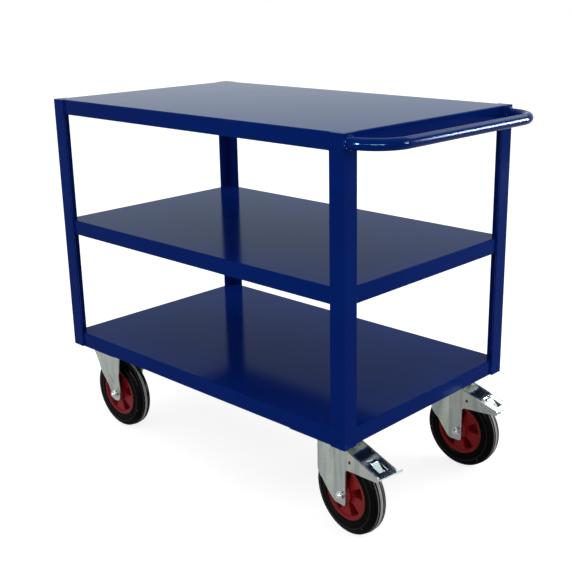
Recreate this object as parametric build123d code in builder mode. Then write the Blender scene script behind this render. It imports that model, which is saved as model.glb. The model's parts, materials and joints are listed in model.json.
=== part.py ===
"""Shelf trolley: three folded steel trays on angle posts, a tube handle and four castors.

Millimetres. Z is up from the floor, X runs along the trolley towards the handle and Y across it.
The origin is on the floor, under the middle of the whole trolley, handle included.
"""

import os
from math import atan2, cos, degrees, radians, sin

from build123d import *

# Trays: sheet steel with a folded rim all round
tray_length = 1000.0
tray_width = 600.0
tray_rim = 38.0
sheet = 2.0
tray_bend = 3.5
shelf_pitch = 321.5

# Posts: rolled angle with its corner outwards
angle_leg = 40.0
angle_wall = 5.0
angle_toe = 3.0
angle_corner = 1.0
post_foot = 1.0

# Handle: one bent tube between the two posts of the handle end
handle_tube = 25.4
handle_wall = 2.0
handle_reach = 86.0
handle_bend = 80.0
handle_drop = 20.0
handle_inset = 15.0

# Cross channels under the bottom tray, which the castors are screwed to
channel_margin = 5.0
channel_wall = 4.0
channel_bend = 5.0
channel_proud = 3.0

# Castors: their places, heights and screws
castor_end_inset = 95.0
castor_side_inset = 80.0
castor_height = 241.5
wheel_room = 38.5
left_turn = -6.9
right_turn = -0.2
plate_margin = 17.5
plate_wall = 4.0
plate_corner = 8.0
screw_pitch_x = 105.0
screw_pitch_y = 75.0
screw_size = 10.0
screw_hole = 11.0
screw_head = 17.0
screw_head_height = 6.4
screw_head_room = 0.7
screw_end = 2.0
washer_size = 18.0
washer_wall = 2.2
nut_height = 8.0
thread_clearance = 0.05

# Wheels: rubber tyre on a pocketed plastic centre with a roller bearing
tyre_depth = 36.5
tyre_width = 40.0
tread_width = 22.0
tread_crown = 1.5
shoulder_drop = 20.0
bead_height = 5.0
groove_width = 2.0
groove_depth = 1.8
groove_pitch = 11.0
rim_wall = 8.0
rim_width = 36.0
web_wall = 5.0
web_recess = 3.0
boss_diameter = 46.0
boss_play = 1.0
pocket_count = 5
pocket_wall = 3.5
pocket_corner = 3.0
pocket_land = 1.5
pocket_turn = -16.0
roller_bore = 30.0
roller_count = 10
roller_inset = 7.0
roller_clearance = 0.05
cage_wall = 2.4
cage_end = 2.0
cage_clearance = 0.15

# Axles
axle_size = 12.0
axle_clearance = 0.1
axle_head = 19.0
axle_head_height = 7.5
axle_nut_height = 10.0
axle_end = 3.0
sleeve_diameter = 20.0

# Legs of the forks and brackets
leg_wall = 4.0
leg_width = 60.0

# Fixed bracket: the legs come down from the plate's long edges and step in to the wheel
bracket_bend = 5.0
bracket_length = 116.0
bracket_waist = 90.0
bracket_shoulder = 58.0
bracket_knee_rise = 17.0
bracket_end = 20.5
bracket_corner = 4.0

# Swivel fork: a round crown, a skirt that narrows to the legs, and wings for the brake
trail = 51.0
race_gap = 8.0
race_radius = 33.0
ball_count = 16
ball_clearance = 0.05
crown_radius = 43.0
crown_wall = 4.0
race_lip = 5.5
race_lip_wall = 4.0
crease = 26.0
skirt_rise = 54.0
cheek_rise = 27.0
arch_drop = 66.0
arch_room = 7.0
leg_end = 25.0
leg_back = 13.0
toe_bottom_corner = 27.0
wing_reach = 168.0
wing_drop = 72.5
wing_bend = 60.0
toe_drop = 52.5
toe_depth = 11.5
wing_start = 20.0
wing_hole = 8.0
wing_hole_reach = 78.0
wing_hole_drop = 50.0
notch_round = 9.0
toe_round = 4.0
foot_round = 7.0
king_pin = 16.0
king_pin_clearance = 0.06
king_head = 26.0
king_foot = 30.0
king_foot_height = 5.0
swivel_play = 0.1

# Brake: a pedal between the wings, hinged at its front, with a shoe over the tyre
pedal_wall = 3.0
pedal_clearance = 1.0
pedal_sink = 0.6
pedal_start = 24.0
pedal_past_wing = 2.0
cheek_depth = 15.0
cheek_length = 30.0
lip_width = 76.0
lip_length = 11.0
lip_gap = 4.0
lip_rise = 28.0
lip_round = 4.0
pin_size = 8.0
pin_clearance = 0.06
pin_reach = 46.0
pin_drop = 29.0
window_start = 98.0
window_length = 44.0
window_room = 3.0
spring_width = 20.0
spring_wall = 2.0
spring_root = 13.0
spring_gap = 1.0
spring_rise = 5.0
spring_crest = 9.0
spring_proud = 1.0
spring_dip = 11.0
spring_end_gap = 4.0
shoe_length = 34.0
shoe_width = 34.0
shoe_start = 50.0
brake_angle = 6.0
brake_gap = 0.5

# Worked-out levels and places
wheel_diameter = castor_height - wheel_room
wheel_radius = wheel_diameter / 2
rim_radius = wheel_radius - tyre_depth
axle_drop = castor_height - wheel_radius
frame_length = tray_length + 2 * angle_wall
frame_width = tray_width + 2 * angle_wall
post_bottom = castor_height + channel_proud
rim_bottom = post_bottom + post_foot
deck_levels = {
    "bottom_shelf": rim_bottom + tray_rim,
    "middle_shelf": rim_bottom + tray_rim + shelf_pitch,
    "top_shelf": rim_bottom + tray_rim + 2 * shelf_pitch,
}
post_top = deck_levels["top_shelf"]
castor_span = tray_length - 2 * castor_end_inset
castor_track = tray_width - 2 * castor_side_inset
handle_end = frame_length / 2 + handle_reach + handle_tube / 2
front_end = max(frame_length / 2, castor_span / 2 + wheel_diameter / 2)
frame_x = (front_end - handle_end) / 2
plate_length = screw_pitch_x + 2 * plate_margin
plate_width = screw_pitch_y + 2 * plate_margin
channel_width = plate_length + 2 * channel_margin
leg_half = leg_width / 2
bracket_knee = axle_drop - bracket_knee_rise
bracket_width = screw_pitch_y + screw_head / cos(radians(30)) + 2 * (screw_head_room + leg_wall)
skirt_drop = axle_drop - skirt_rise
cheek_drop = axle_drop - cheek_rise
leg_drop = axle_drop + leg_end
boss_width = leg_width - 2 * (leg_wall + boss_play)
roller_length = boss_width - 2 * roller_inset
crown_top = -(plate_wall + race_gap)
wing_tilt = degrees(atan2(toe_drop + crown_top, wing_reach - wing_start))
pedal_end = (wing_reach + pedal_past_wing - wing_start) / cos(radians(wing_tilt))


def castor_plane(x, y, turn):
    """A castor's own frame: its origin on the plate's top, its x along the trail."""
    forward = (cos(radians(turn)), sin(radians(turn)), 0)
    return Plane(origin=(frame_x + x, y, castor_height), x_dir=forward, z_dir=(0, 0, 1))


def side_plane(at):
    """The castor's middle plane, for sketches in its x and z."""
    return Plane(origin=at.origin, x_dir=at.x_dir, z_dir=-at.y_dir)


def front_plane(at):
    """The plane across the castor, for sketches in its y and z."""
    return Plane(origin=at.origin, x_dir=at.y_dir, z_dir=at.x_dir)


def axle_plane(at, reach):
    """A plane at the wheel's middle with the axle as its normal."""
    centre = at.from_local_coords((reach, 0, -axle_drop))
    return Plane(origin=centre, x_dir=at.x_dir, z_dir=at.y_dir)


def section_plane(axle):
    """A plane through the axle, for profiles of axial place against radius."""
    return Plane(origin=axle.origin, x_dir=axle.z_dir, z_dir=axle.x_dir)


def pedal_plane(at):
    """The pedal's top face: along the wings' upper edges, at their slope."""
    start = at.from_local_coords((wing_start, 0, crown_top - pedal_sink))
    slope = Vector(cos(radians(wing_tilt)), 0, -sin(radians(wing_tilt)))
    down = at.from_local_coords(slope) - at.origin
    return Plane(origin=start, x_dir=down, z_dir=down.cross(at.y_dir))


def tray(level):
    with BuildPart() as piece:
        with BuildSketch(Plane.XY.offset(level)):
            with Locations((frame_x, 0)):
                Rectangle(tray_length, tray_width)
        extrude(amount=-tray_rim)
        fillet(piece.faces().sort_by(Axis.Z)[-1].edges(), radius=tray_bend)
        offset(amount=-sheet, openings=piece.faces().sort_by(Axis.Z)[0])
    return piece.part


def post(end, side):
    """One post; end and side are +1 or -1 and say which corner it stands at."""
    with BuildPart() as piece:
        with BuildSketch(Plane.XY.offset(post_bottom)) as section:
            with Locations((frame_x + end * frame_length / 2, side * frame_width / 2)):
                long_leg = (Align.MAX if end > 0 else Align.MIN, Align.MAX if side > 0 else Align.MIN)
                Rectangle(angle_leg, angle_wall, align=long_leg)
                Rectangle(angle_wall, angle_leg, align=long_leg)
            corner = Vector(frame_x + end * frame_length / 2, side * frame_width / 2)
            near_first = section.vertices().sort_by_distance(corner)
            fillet(near_first[-2:], radius=angle_toe)
            fillet(section.vertices().sort_by_distance(corner)[0], radius=angle_corner)
        extrude(amount=post_top - post_bottom)
    return piece.part


def handle():
    face = frame_x + frame_length / 2
    side = frame_width / 2 - handle_inset
    level = post_top - handle_drop
    reach = face + handle_reach
    with BuildPart() as piece:
        with BuildLine() as path:
            FilletPolyline(
                (face, -side, level),
                (reach, -side, level),
                (reach, side, level),
                (face, side, level),
                radius=handle_bend,
            )
        with BuildSketch(Plane(origin=path.line @ 0, z_dir=path.line % 0)):
            Circle(handle_tube / 2)
            Circle(handle_tube / 2 - handle_wall, mode=Mode.SUBTRACT)
        sweep()
    return piece.part


def screw_places(x):
    """The screw centres of both castors on the channel at x."""
    return [
        (frame_x + x + along * screw_pitch_x / 2, side * castor_track / 2 + across * screw_pitch_y / 2)
        for side in (-1, 1)
        for along in (-1, 1)
        for across in (-1, 1)
    ]


def channel(x):
    depth = deck_levels["bottom_shelf"] - sheet - castor_height
    with BuildPart() as piece:
        with BuildSketch(Plane.XZ) as section:
            with Locations((frame_x + x, castor_height)):
                Rectangle(channel_width, depth, align=(Align.CENTER, Align.MIN))
            fillet(section.vertices().group_by(Axis.Y)[0], radius=channel_bend)
            with Locations((frame_x + x, castor_height + channel_wall)):
                inside = channel_width - 2 * channel_wall
                Rectangle(inside, depth, align=(Align.CENTER, Align.MIN), mode=Mode.SUBTRACT)
        extrude(amount=tray_width / 2 - tray_bend, both=True)
        with BuildSketch(Plane.XY.offset(castor_height)):
            with Locations(*screw_places(x)):
                Circle(screw_hole / 2)
        extrude(amount=channel_wall, mode=Mode.SUBTRACT)
    return piece.part


def all_screw_places():
    return screw_places(-castor_span / 2) + screw_places(castor_span / 2)


def weld_nuts():
    with BuildPart() as piece:
        with BuildSketch(Plane.XY.offset(castor_height + channel_wall)):
            with Locations(*all_screw_places()):
                RegularPolygon(screw_head / 2, 6, major_radius=False)
                Circle(screw_size / 2 + thread_clearance, mode=Mode.SUBTRACT)
        extrude(amount=nut_height)
    return piece.part


def spring_washers():
    with BuildPart() as piece:
        with BuildSketch(Plane.XY.offset(castor_height - plate_wall)):
            with Locations(*all_screw_places()):
                Circle(washer_size / 2)
                Circle(screw_size / 2 + thread_clearance, mode=Mode.SUBTRACT)
        extrude(amount=-washer_wall)
    return piece.part


def castor_screws():
    seat = castor_height - plate_wall - washer_wall
    tip = castor_height + channel_wall + nut_height + screw_end
    with BuildPart() as piece:
        with BuildSketch(Plane.XY.offset(seat)):
            with Locations(*all_screw_places()):
                RegularPolygon(screw_head / 2, 6, major_radius=False)
        extrude(amount=-screw_head_height)
        with BuildSketch(Plane.XY.offset(seat)):
            with Locations(*all_screw_places()):
                Circle(screw_size / 2)
        extrude(amount=tip - seat)
    return piece.part


def castor_plate(at):
    with BuildPart() as piece:
        with BuildSketch(at):
            RectangleRounded(plate_length, plate_width, plate_corner)
            with GridLocations(screw_pitch_x, screw_pitch_y, 2, 2):
                Circle(screw_hole / 2, mode=Mode.SUBTRACT)
        extrude(amount=-plate_wall)
        with BuildSketch(at):
            Circle(king_head / 2)
        with BuildSketch(at.offset(-plate_wall)):
            Circle(king_pin / 2)
        loft(mode=Mode.SUBTRACT)
    return piece.part


def king_pin_part(at):
    """The king pin: a flush head in the plate, a shank, and a foot under the crown."""
    foot = crown_top - crown_wall - swivel_play
    with BuildPart() as piece:
        with BuildSketch(at):
            Circle(king_head / 2)
        with BuildSketch(at.offset(-plate_wall)):
            Circle(king_pin / 2)
        loft()
        with BuildSketch(at.offset(-plate_wall)):
            Circle(king_pin / 2)
        extrude(amount=foot + plate_wall)
        with BuildSketch(at.offset(foot)):
            Circle(king_foot / 2)
        extrude(amount=-king_foot_height)
    return piece.part


def race_balls(at):
    with BuildPart(at.offset(-plate_wall - race_gap / 2)) as piece:
        with PolarLocations(race_radius, ball_count):
            Sphere(race_gap / 2 - ball_clearance)
    return piece.part


def fork_plan():
    """The fork seen from above, closed past the wings: crown, narrowing skirt and legs."""
    past = wing_reach + 2 * leg_wall
    with BuildLine() as plan:
        narrowing = Line((crease, -leg_half), (0, -crown_radius))
        front = ThreePointArc(narrowing @ 1, (-crown_radius, 0), (0, crown_radius))
        Polyline(front @ 1, (crease, leg_half), (past, leg_half), (past, -leg_half), narrowing @ 0)
    return plan.edges()


def fork(at):
    middle = side_plane(at)
    with BuildPart() as piece:
        with BuildSketch(at.offset(-leg_drop)):
            make_face(fork_plan())
            offset(amount=-leg_wall, kind=Kind.INTERSECTION, mode=Mode.SUBTRACT)
        extrude(amount=leg_drop + crown_top)
        with BuildSketch(middle) as outline:
            with BuildLine():
                Polyline(
                    (-crown_radius, crown_top),
                    (-crown_radius, -skirt_drop),
                    (0, -cheek_drop),
                    (toe_bottom_corner, -leg_drop),
                    (trail + leg_back, -leg_drop),
                    (trail + leg_back, -wing_drop),
                    (wing_reach, -toe_drop - toe_depth),
                    (wing_reach, -toe_drop),
                    (wing_start, crown_top),
                    close=True,
                )
            make_face()
            fillet(outline.vertices().group_by(Axis.Y)[0], radius=foot_round)
            fillet(outline.vertices().sort_by_distance((trail + leg_back, -wing_drop))[0], radius=notch_round)
            fillet(outline.vertices().group_by(Axis.X)[-1], radius=toe_round)
            fillet(outline.vertices().sort_by_distance((wing_start, crown_top))[0], radius=wing_bend)
        extrude(amount=crown_radius, both=True, mode=Mode.INTERSECT)
        with BuildSketch(at.offset(crown_top)):
            Circle(crown_radius)
        extrude(amount=-crown_wall)
        with BuildSketch(at.offset(crown_top)):
            Circle(crown_radius)
            Circle(crown_radius - race_lip_wall, mode=Mode.SUBTRACT)
        extrude(amount=race_lip)
        with BuildSketch(at.offset(crown_top)):
            Circle(king_pin / 2 + king_pin_clearance)
        extrude(amount=-crown_wall, mode=Mode.SUBTRACT)
        with BuildSketch(front_plane(at)):
            with Locations((0, -arch_drop)):
                Rectangle(tyre_width + 2 * arch_room, leg_drop, align=(Align.CENTER, Align.MAX))
        extrude(amount=-2 * crown_radius, mode=Mode.SUBTRACT)
        with BuildSketch(middle):
            with Locations((trail, -axle_drop)):
                Circle(axle_size / 2 + axle_clearance)
            with Locations((pin_reach, -pin_drop)):
                Circle(pin_size / 2 + pin_clearance)
            with Locations((wing_hole_reach, -wing_hole_drop)):
                Circle(wing_hole / 2)
        extrude(amount=crown_radius, both=True, mode=Mode.SUBTRACT)
    return piece.part


def bracket(at):
    """The fixed castor's bracket: plate and two legs from one pressing."""
    front = front_plane(at)
    middle = side_plane(at)
    foot = axle_drop + bracket_end
    past = foot + 2 * leg_wall
    with BuildPart() as piece:
        with BuildSketch(front) as section:
            with BuildLine():
                Polyline(
                    (-bracket_width / 2, 0),
                    (-bracket_width / 2, -bracket_shoulder),
                    (-leg_half, -bracket_knee),
                    (-leg_half, -past),
                    (leg_half, -past),
                    (leg_half, -bracket_knee),
                    (bracket_width / 2, -bracket_shoulder),
                    (bracket_width / 2, 0),
                    close=True,
                )
            make_face()
            fillet(section.vertices().group_by(Axis.Y)[-1], radius=bracket_bend)
            offset(amount=-leg_wall, mode=Mode.SUBTRACT)
        extrude(amount=plate_length / 2, both=True)
        with BuildSketch(middle) as outline:
            with BuildLine():
                Polyline(
                    (-plate_length / 2, 0),
                    (-plate_length / 2, -leg_wall),
                    (-bracket_length / 2, -2 * leg_wall),
                    (-bracket_waist / 2, -bracket_shoulder),
                    (-bracket_end, -bracket_knee),
                    (-bracket_end, -foot),
                    (bracket_end, -foot),
                    (bracket_end, -bracket_knee),
                    (bracket_waist / 2, -bracket_shoulder),
                    (bracket_length / 2, -2 * leg_wall),
                    (plate_length / 2, -leg_wall),
                    (plate_length / 2, 0),
                    close=True,
                )
            make_face()
            fillet(outline.vertices().group_by(Axis.Y)[0], radius=bracket_end - bracket_corner)
        extrude(amount=bracket_width, both=True, mode=Mode.INTERSECT)
        with BuildSketch(at):
            with GridLocations(screw_pitch_x, screw_pitch_y, 2, 2):
                Circle(screw_hole / 2)
        extrude(amount=-leg_wall, mode=Mode.SUBTRACT)
        with BuildSketch(middle):
            with Locations((0, -axle_drop)):
                Circle(axle_size / 2 + axle_clearance)
        extrude(amount=bracket_width, both=True, mode=Mode.SUBTRACT)
    return piece.part


def axle_bolt(axle):
    with BuildPart() as piece:
        with BuildSketch(axle.offset(leg_half)):
            RegularPolygon(axle_head / 2, 6, major_radius=False)
        extrude(amount=axle_head_height)
        with BuildSketch(axle.offset(leg_half)):
            Circle(axle_size / 2)
        extrude(amount=-(leg_width + axle_nut_height + axle_end))
    return piece.part


def axle_nut(axle):
    with BuildPart() as piece:
        with BuildSketch(axle.offset(-leg_half)):
            RegularPolygon(axle_head / 2, 6, major_radius=False)
            Circle(axle_size / 2 + thread_clearance, mode=Mode.SUBTRACT)
        extrude(amount=-axle_nut_height)
    return piece.part


def axle_sleeve(axle):
    with BuildPart() as piece:
        with BuildSketch(axle):
            Circle(sleeve_diameter / 2)
            Circle(axle_size / 2 + axle_clearance, mode=Mode.SUBTRACT)
        extrude(amount=leg_half - leg_wall, both=True)
    return piece.part


def roller_ring():
    """The rollers' radius and the radius they are set at, between sleeve and bore."""
    radius = (roller_bore - sleeve_diameter) / 4 - roller_clearance
    return radius, (roller_bore + sleeve_diameter) / 4


def rollers(axle):
    radius, ring = roller_ring()
    with BuildPart() as piece:
        with BuildSketch(axle):
            with PolarLocations(ring, roller_count):
                Circle(radius)
        extrude(amount=roller_length / 2, both=True)
    return piece.part


def roller_cage(axle):
    radius, ring = roller_ring()
    with BuildPart() as piece:
        with BuildSketch(axle):
            Circle(ring + cage_wall / 2)
            Circle(ring - cage_wall / 2, mode=Mode.SUBTRACT)
        extrude(amount=roller_length / 2 + cage_end, both=True)
        with BuildSketch(axle):
            with PolarLocations(ring, roller_count):
                Circle(radius + cage_clearance)
        extrude(amount=roller_length / 2 + cage_clearance, both=True, mode=Mode.SUBTRACT)
    return piece.part


def wheel_pocket():
    """One pocket of the wheel centre: a sector between boss and rim, with a wall left on each side."""
    opening = radians(90 / pocket_count)
    tip = pocket_wall / 2 / sin(opening)
    far = (tip + 2 * rim_radius * cos(opening), 2 * rim_radius * sin(opening))
    with BuildSketch() as pocket:
        Circle(rim_radius - rim_wall - pocket_land)
        Circle(boss_diameter / 2 + pocket_land, mode=Mode.SUBTRACT)
        with BuildLine():
            Polyline((tip, 0), far, (far[0], -far[1]), close=True)
        make_face(mode=Mode.INTERSECT)
        fillet(pocket.vertices(), radius=pocket_corner)
    return pocket.sketch


def wheel_centre(axle):
    """Rim, boss and a web that steps from face to face, pocketed in turn from either side."""
    web_half = rim_width / 2 - web_recess
    pocket = wheel_pocket()
    with BuildPart() as piece:
        with BuildSketch(section_plane(axle)):
            with Locations((0, rim_radius)):
                Rectangle(rim_width, rim_wall, align=(Align.CENTER, Align.MAX))
            with Locations((0, 0)):
                Rectangle(2 * web_half, rim_radius - rim_wall / 2, align=(Align.CENTER, Align.MIN))
                Rectangle(boss_width, boss_diameter / 2, align=(Align.CENTER, Align.MIN))
        revolve(axis=Axis(axle.origin, axle.z_dir))
        for face, turn in ((-1, pocket_turn), (1, pocket_turn + 180 / pocket_count)):
            with BuildSketch(axle.offset(face * web_half)):
                with PolarLocations(0, pocket_count, start_angle=turn):
                    add(pocket)
            extrude(amount=-face * (2 * web_half - web_wall), mode=Mode.SUBTRACT)
        with BuildSketch(axle):
            Circle(roller_bore / 2)
        extrude(amount=boss_width, both=True, mode=Mode.SUBTRACT)
    return piece.part


def tyre(axle):
    with BuildPart() as piece:
        with BuildSketch(section_plane(axle)):
            with BuildLine():
                flank = Polyline(
                    (0, rim_radius),
                    (rim_width / 2, rim_radius),
                    (tyre_width / 2, rim_radius + bead_height),
                    (tyre_width / 2, wheel_radius - shoulder_drop),
                )
                edge = (tread_width / 2, wheel_radius - tread_crown)
                shoulder = TangentArc(flank @ 1, edge, tangent=(0, 1))
                Line(shoulder @ 1, (0, wheel_radius))
                mirror(about=Plane.YZ)
            make_face()
            with GridLocations(groove_pitch, 0, 2, 1):
                with Locations((0, wheel_radius)):
                    Rectangle(groove_width, 2 * (groove_depth + tread_crown), mode=Mode.SUBTRACT)
        revolve(axis=Axis(axle.origin, axle.z_dir))
    return piece.part


def brake_pedal(at):
    top = pedal_plane(at)
    width = leg_width - 2 * (leg_wall + pedal_clearance)
    lip_start = top.from_local_coords((pedal_end, 0, 0))
    upward = Vector(cos(radians(lip_rise)), 0, sin(radians(lip_rise)))
    outward = at.from_local_coords(upward) - at.origin
    lip_plane = Plane(origin=lip_start, x_dir=outward, z_dir=outward.cross(at.y_dir))
    with BuildPart() as piece:
        with BuildSketch(top):
            with Locations((pedal_start, 0)):
                Rectangle(pedal_end - pedal_start, width, align=(Align.MIN, Align.CENTER))
        extrude(amount=-pedal_wall)
        with BuildSketch(top):
            with GridLocations(0, width - pedal_wall, 1, 2):
                with Locations((pedal_start, 0)):
                    Rectangle(cheek_length, pedal_wall, align=(Align.MIN, Align.CENTER))
        extrude(amount=-cheek_depth)
        with BuildSketch(lip_plane):
            with Locations((-pedal_wall, 0)):
                Rectangle(lip_gap + lip_length + pedal_wall, width, align=(Align.MIN, Align.CENTER))
            with Locations((lip_gap + lip_length / 2, 0)):
                RectangleRounded(lip_length, lip_width, lip_round)
        extrude(amount=-pedal_wall)
        with BuildSketch(side_plane(at)):
            with Locations((pin_reach, -pin_drop)):
                Circle(pin_size / 2 + pin_clearance)
        extrude(amount=leg_width, both=True, mode=Mode.SUBTRACT)
        with BuildSketch(top):
            with Locations((window_start, 0)):
                opening = spring_width + 2 * window_room
                Rectangle(window_length, opening, align=(Align.MIN, Align.CENTER))
        extrude(amount=-pedal_wall, mode=Mode.SUBTRACT)
    return piece.part


def brake_spring(at):
    """A leaf spring under the pedal: it rises through the window, then dips towards its free end."""
    rise_from = window_start + spring_gap
    crest_from = rise_from + spring_rise
    upper = [
        (window_start - spring_root, -pedal_wall),
        (rise_from, -pedal_wall),
        (crest_from, spring_proud),
        (crest_from + spring_crest, spring_proud),
        (window_start + window_length - spring_end_gap, -spring_dip),
    ]
    lower = [(along, height - spring_wall) for along, height in reversed(upper)]
    with BuildPart() as piece:
        with BuildSketch(side_plane(pedal_plane(at))):
            with BuildLine():
                Polyline(*upper, *lower, close=True)
            make_face()
        extrude(amount=spring_width / 2, both=True)
    return piece.part


def pedal_pin(at):
    with BuildPart() as piece:
        with BuildSketch(side_plane(at)):
            with Locations((pin_reach, -pin_drop)):
                Circle(pin_size / 2)
        extrude(amount=leg_half, both=True)
    return piece.part


def brake_shoe(at):
    """A block under the pedal, hollowed to meet the tyre when the pedal is down."""
    top = pedal_plane(at)
    pivot = Vector(pin_reach, 0, -pin_drop)
    axle_centre = Vector(trail, 0, -axle_drop)
    lifted = pivot + (axle_centre - pivot).rotate(Axis.Y, -brake_angle)
    with BuildPart() as piece:
        with BuildSketch(top.offset(-pedal_wall)):
            with Locations((shoe_start, 0)):
                Rectangle(shoe_length, shoe_width, align=(Align.MIN, Align.CENTER))
        extrude(amount=-wheel_radius)
        with BuildSketch(side_plane(at)):
            with Locations((lifted.X, lifted.Z)):
                Circle(wheel_radius + brake_gap)
        extrude(amount=shoe_width, both=True, mode=Mode.SUBTRACT)
    return piece.part


def save(part, name):
    part.label = name
    export_step(part, f"parts/{name}.step")


def save_wheel(axle, name):
    """The axle and the wheel on it, the same for every castor."""
    save(axle_bolt(axle), f"{name}_axle_bolt")
    save(axle_nut(axle), f"{name}_axle_nut")
    save(axle_sleeve(axle), f"{name}_axle_sleeve")
    save(rollers(axle), f"{name}_rollers")
    save(roller_cage(axle), f"{name}_roller_cage")
    save(wheel_centre(axle), f"{name}_wheel_centre")
    save(tyre(axle), f"{name}_tyre")


os.makedirs("parts", exist_ok=True)

for shelf, level in deck_levels.items():
    save(tray(level), shelf)
for end_name, end in (("front", -1), ("handle", 1)):
    for side_name, side in (("left", -1), ("right", 1)):
        save(post(end, side), f"post_{end_name}_{side_name}")
    save(channel(end * castor_span / 2), f"channel_{end_name}")
save(handle(), "handle")
save(weld_nuts(), "weld_nuts")
save(spring_washers(), "spring_washers")
save(castor_screws(), "castor_screws")

for side_name, side in (("left", -1), ("right", 1)):
    still = castor_plane(-castor_span / 2, side * castor_track / 2, 0)
    save(bracket(still), f"fixed_{side_name}_bracket")
    save_wheel(axle_plane(still, 0), f"fixed_{side_name}")

for side_name, side, turn in (("left", -1, left_turn), ("right", 1, right_turn)):
    still = castor_plane(castor_span / 2, side * castor_track / 2, 0)
    turned = castor_plane(castor_span / 2, side * castor_track / 2, turn)
    save(castor_plate(still), f"swivel_{side_name}_plate")
    save(king_pin_part(still), f"swivel_{side_name}_king_pin")
    save(race_balls(still), f"swivel_{side_name}_race_balls")
    save(fork(turned), f"swivel_{side_name}_fork")
    save(brake_pedal(turned), f"swivel_{side_name}_brake_pedal")
    save(brake_spring(turned), f"swivel_{side_name}_brake_spring")
    save(pedal_pin(turned), f"swivel_{side_name}_pedal_pin")
    save(brake_shoe(turned), f"swivel_{side_name}_brake_shoe")
    save_wheel(axle_plane(turned, trail), f"swivel_{side_name}")
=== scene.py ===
"""Shelf trolley: modelled pieces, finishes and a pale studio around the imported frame."""

import json
from math import atan2, cos, hypot, pi, radians, sin, sqrt, tan

import bmesh
import bpy
from mathutils import Euler, Matrix, Vector


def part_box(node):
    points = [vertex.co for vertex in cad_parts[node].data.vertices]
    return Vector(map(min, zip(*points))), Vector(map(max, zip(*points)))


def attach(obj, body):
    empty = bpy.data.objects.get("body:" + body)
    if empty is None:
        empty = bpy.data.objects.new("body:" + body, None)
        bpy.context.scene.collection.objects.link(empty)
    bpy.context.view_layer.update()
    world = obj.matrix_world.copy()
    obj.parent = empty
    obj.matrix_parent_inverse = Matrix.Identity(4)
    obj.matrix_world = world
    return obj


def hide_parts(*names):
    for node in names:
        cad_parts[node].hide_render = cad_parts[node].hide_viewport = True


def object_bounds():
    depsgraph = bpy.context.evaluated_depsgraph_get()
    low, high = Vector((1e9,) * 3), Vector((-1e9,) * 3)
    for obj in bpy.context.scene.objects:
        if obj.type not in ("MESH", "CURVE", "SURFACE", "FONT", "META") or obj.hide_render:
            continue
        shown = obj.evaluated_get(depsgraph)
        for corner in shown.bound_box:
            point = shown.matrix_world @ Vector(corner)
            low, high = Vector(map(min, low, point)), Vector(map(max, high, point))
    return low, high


bl_info = {
    "name": "Shelf trolley",
    "version": (1, 0, 0),
    "blender": (4, 5, 0),
    "location": "View3D > Sidebar > Trolley",
    "description": "Dresses a packed shelf trolley with modelled pieces, finishes and a studio",
    "category": "Object",
}

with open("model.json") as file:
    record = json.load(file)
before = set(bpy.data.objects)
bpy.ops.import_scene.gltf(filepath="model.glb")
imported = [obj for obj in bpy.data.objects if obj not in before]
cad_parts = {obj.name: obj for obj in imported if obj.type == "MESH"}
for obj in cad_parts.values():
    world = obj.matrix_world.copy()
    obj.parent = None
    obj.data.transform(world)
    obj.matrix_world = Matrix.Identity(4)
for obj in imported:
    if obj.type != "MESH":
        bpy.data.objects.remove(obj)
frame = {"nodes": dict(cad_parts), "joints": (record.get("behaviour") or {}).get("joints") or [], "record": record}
CAD_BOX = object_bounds()
MM = 0.001
# points closer than TOUCH are at one place, and those closer than MERGE become one point
TOUCH = 0.01 * MM
MERGE = 0.001 * MM
BMVert, BMEdge = bmesh.types.BMVert, bmesh.types.BMEdge

TRAYS = ("top", "middle", "bottom")
SIDES = {"left": -1, "right": 1}
ENDS = {"front": -1, "handle": 1}
POSTS = {f"{end}_{side}": (ENDS[end], SIDES[side]) for end in ENDS for side in SIDES}
CASTORS = {f"{kind}_{side}": kind for kind in ("fixed", "swivel") for side in SIDES}
JOINTS = {joint["name"]: joint for joint in frame["joints"]}


# Sizes and colours that a user would change


def number(label, about, value, **kind):
    return bpy.props.FloatProperty(name=label, description=about, default=value, **kind)


def length(label, about, millimetres):
    """A length property, given in millimetres and kept in metres."""
    return number(label, about, millimetres * MM, unit="LENGTH")


def angle(label, about, degrees):
    return number(label, about, radians(degrees), subtype="ANGLE")


def colour(label, about, value):
    return bpy.props.FloatVectorProperty(
        name=label, description=about, default=value, subtype="COLOR", size=3, min=0.0, max=1.0
    )


class TrolleyFrameSizes(bpy.types.PropertyGroup):
    """Sizes of the welded frame"""

    sheet: length("Sheet", "Thickness of the tray sheet", 2.0)
    tray_bend: length("Tray bend", "Outside radius of the tray's folded edges", 3.5)
    cut_edge: length("Cut edge", "Rounding of sheared sheet edges under the paint", 0.5)
    post_wall: length("Post wall", "Wall of the angle posts", 5.0)
    post_toe: length("Post toe", "Radius at the toes of the angle", 3.0)
    post_root: length("Post root", "Fillet inside the angle", 3.4)
    post_corner: length("Post corner", "Radius on the outer corner of the angle", 1.0)
    handle_bend: length("Handle bend", "Bend radius of the handle at the tube's middle", 80.0)
    weld_bead: length("Weld bead", "Radius of a weld bead", 3.0)
    handle_bead: length("Handle bead", "Radius of the weld bead round each end of the handle", 3.9)
    weld_ripple: length("Weld ripple", "Length of one ripple of a weld bead", 3.2)


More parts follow.
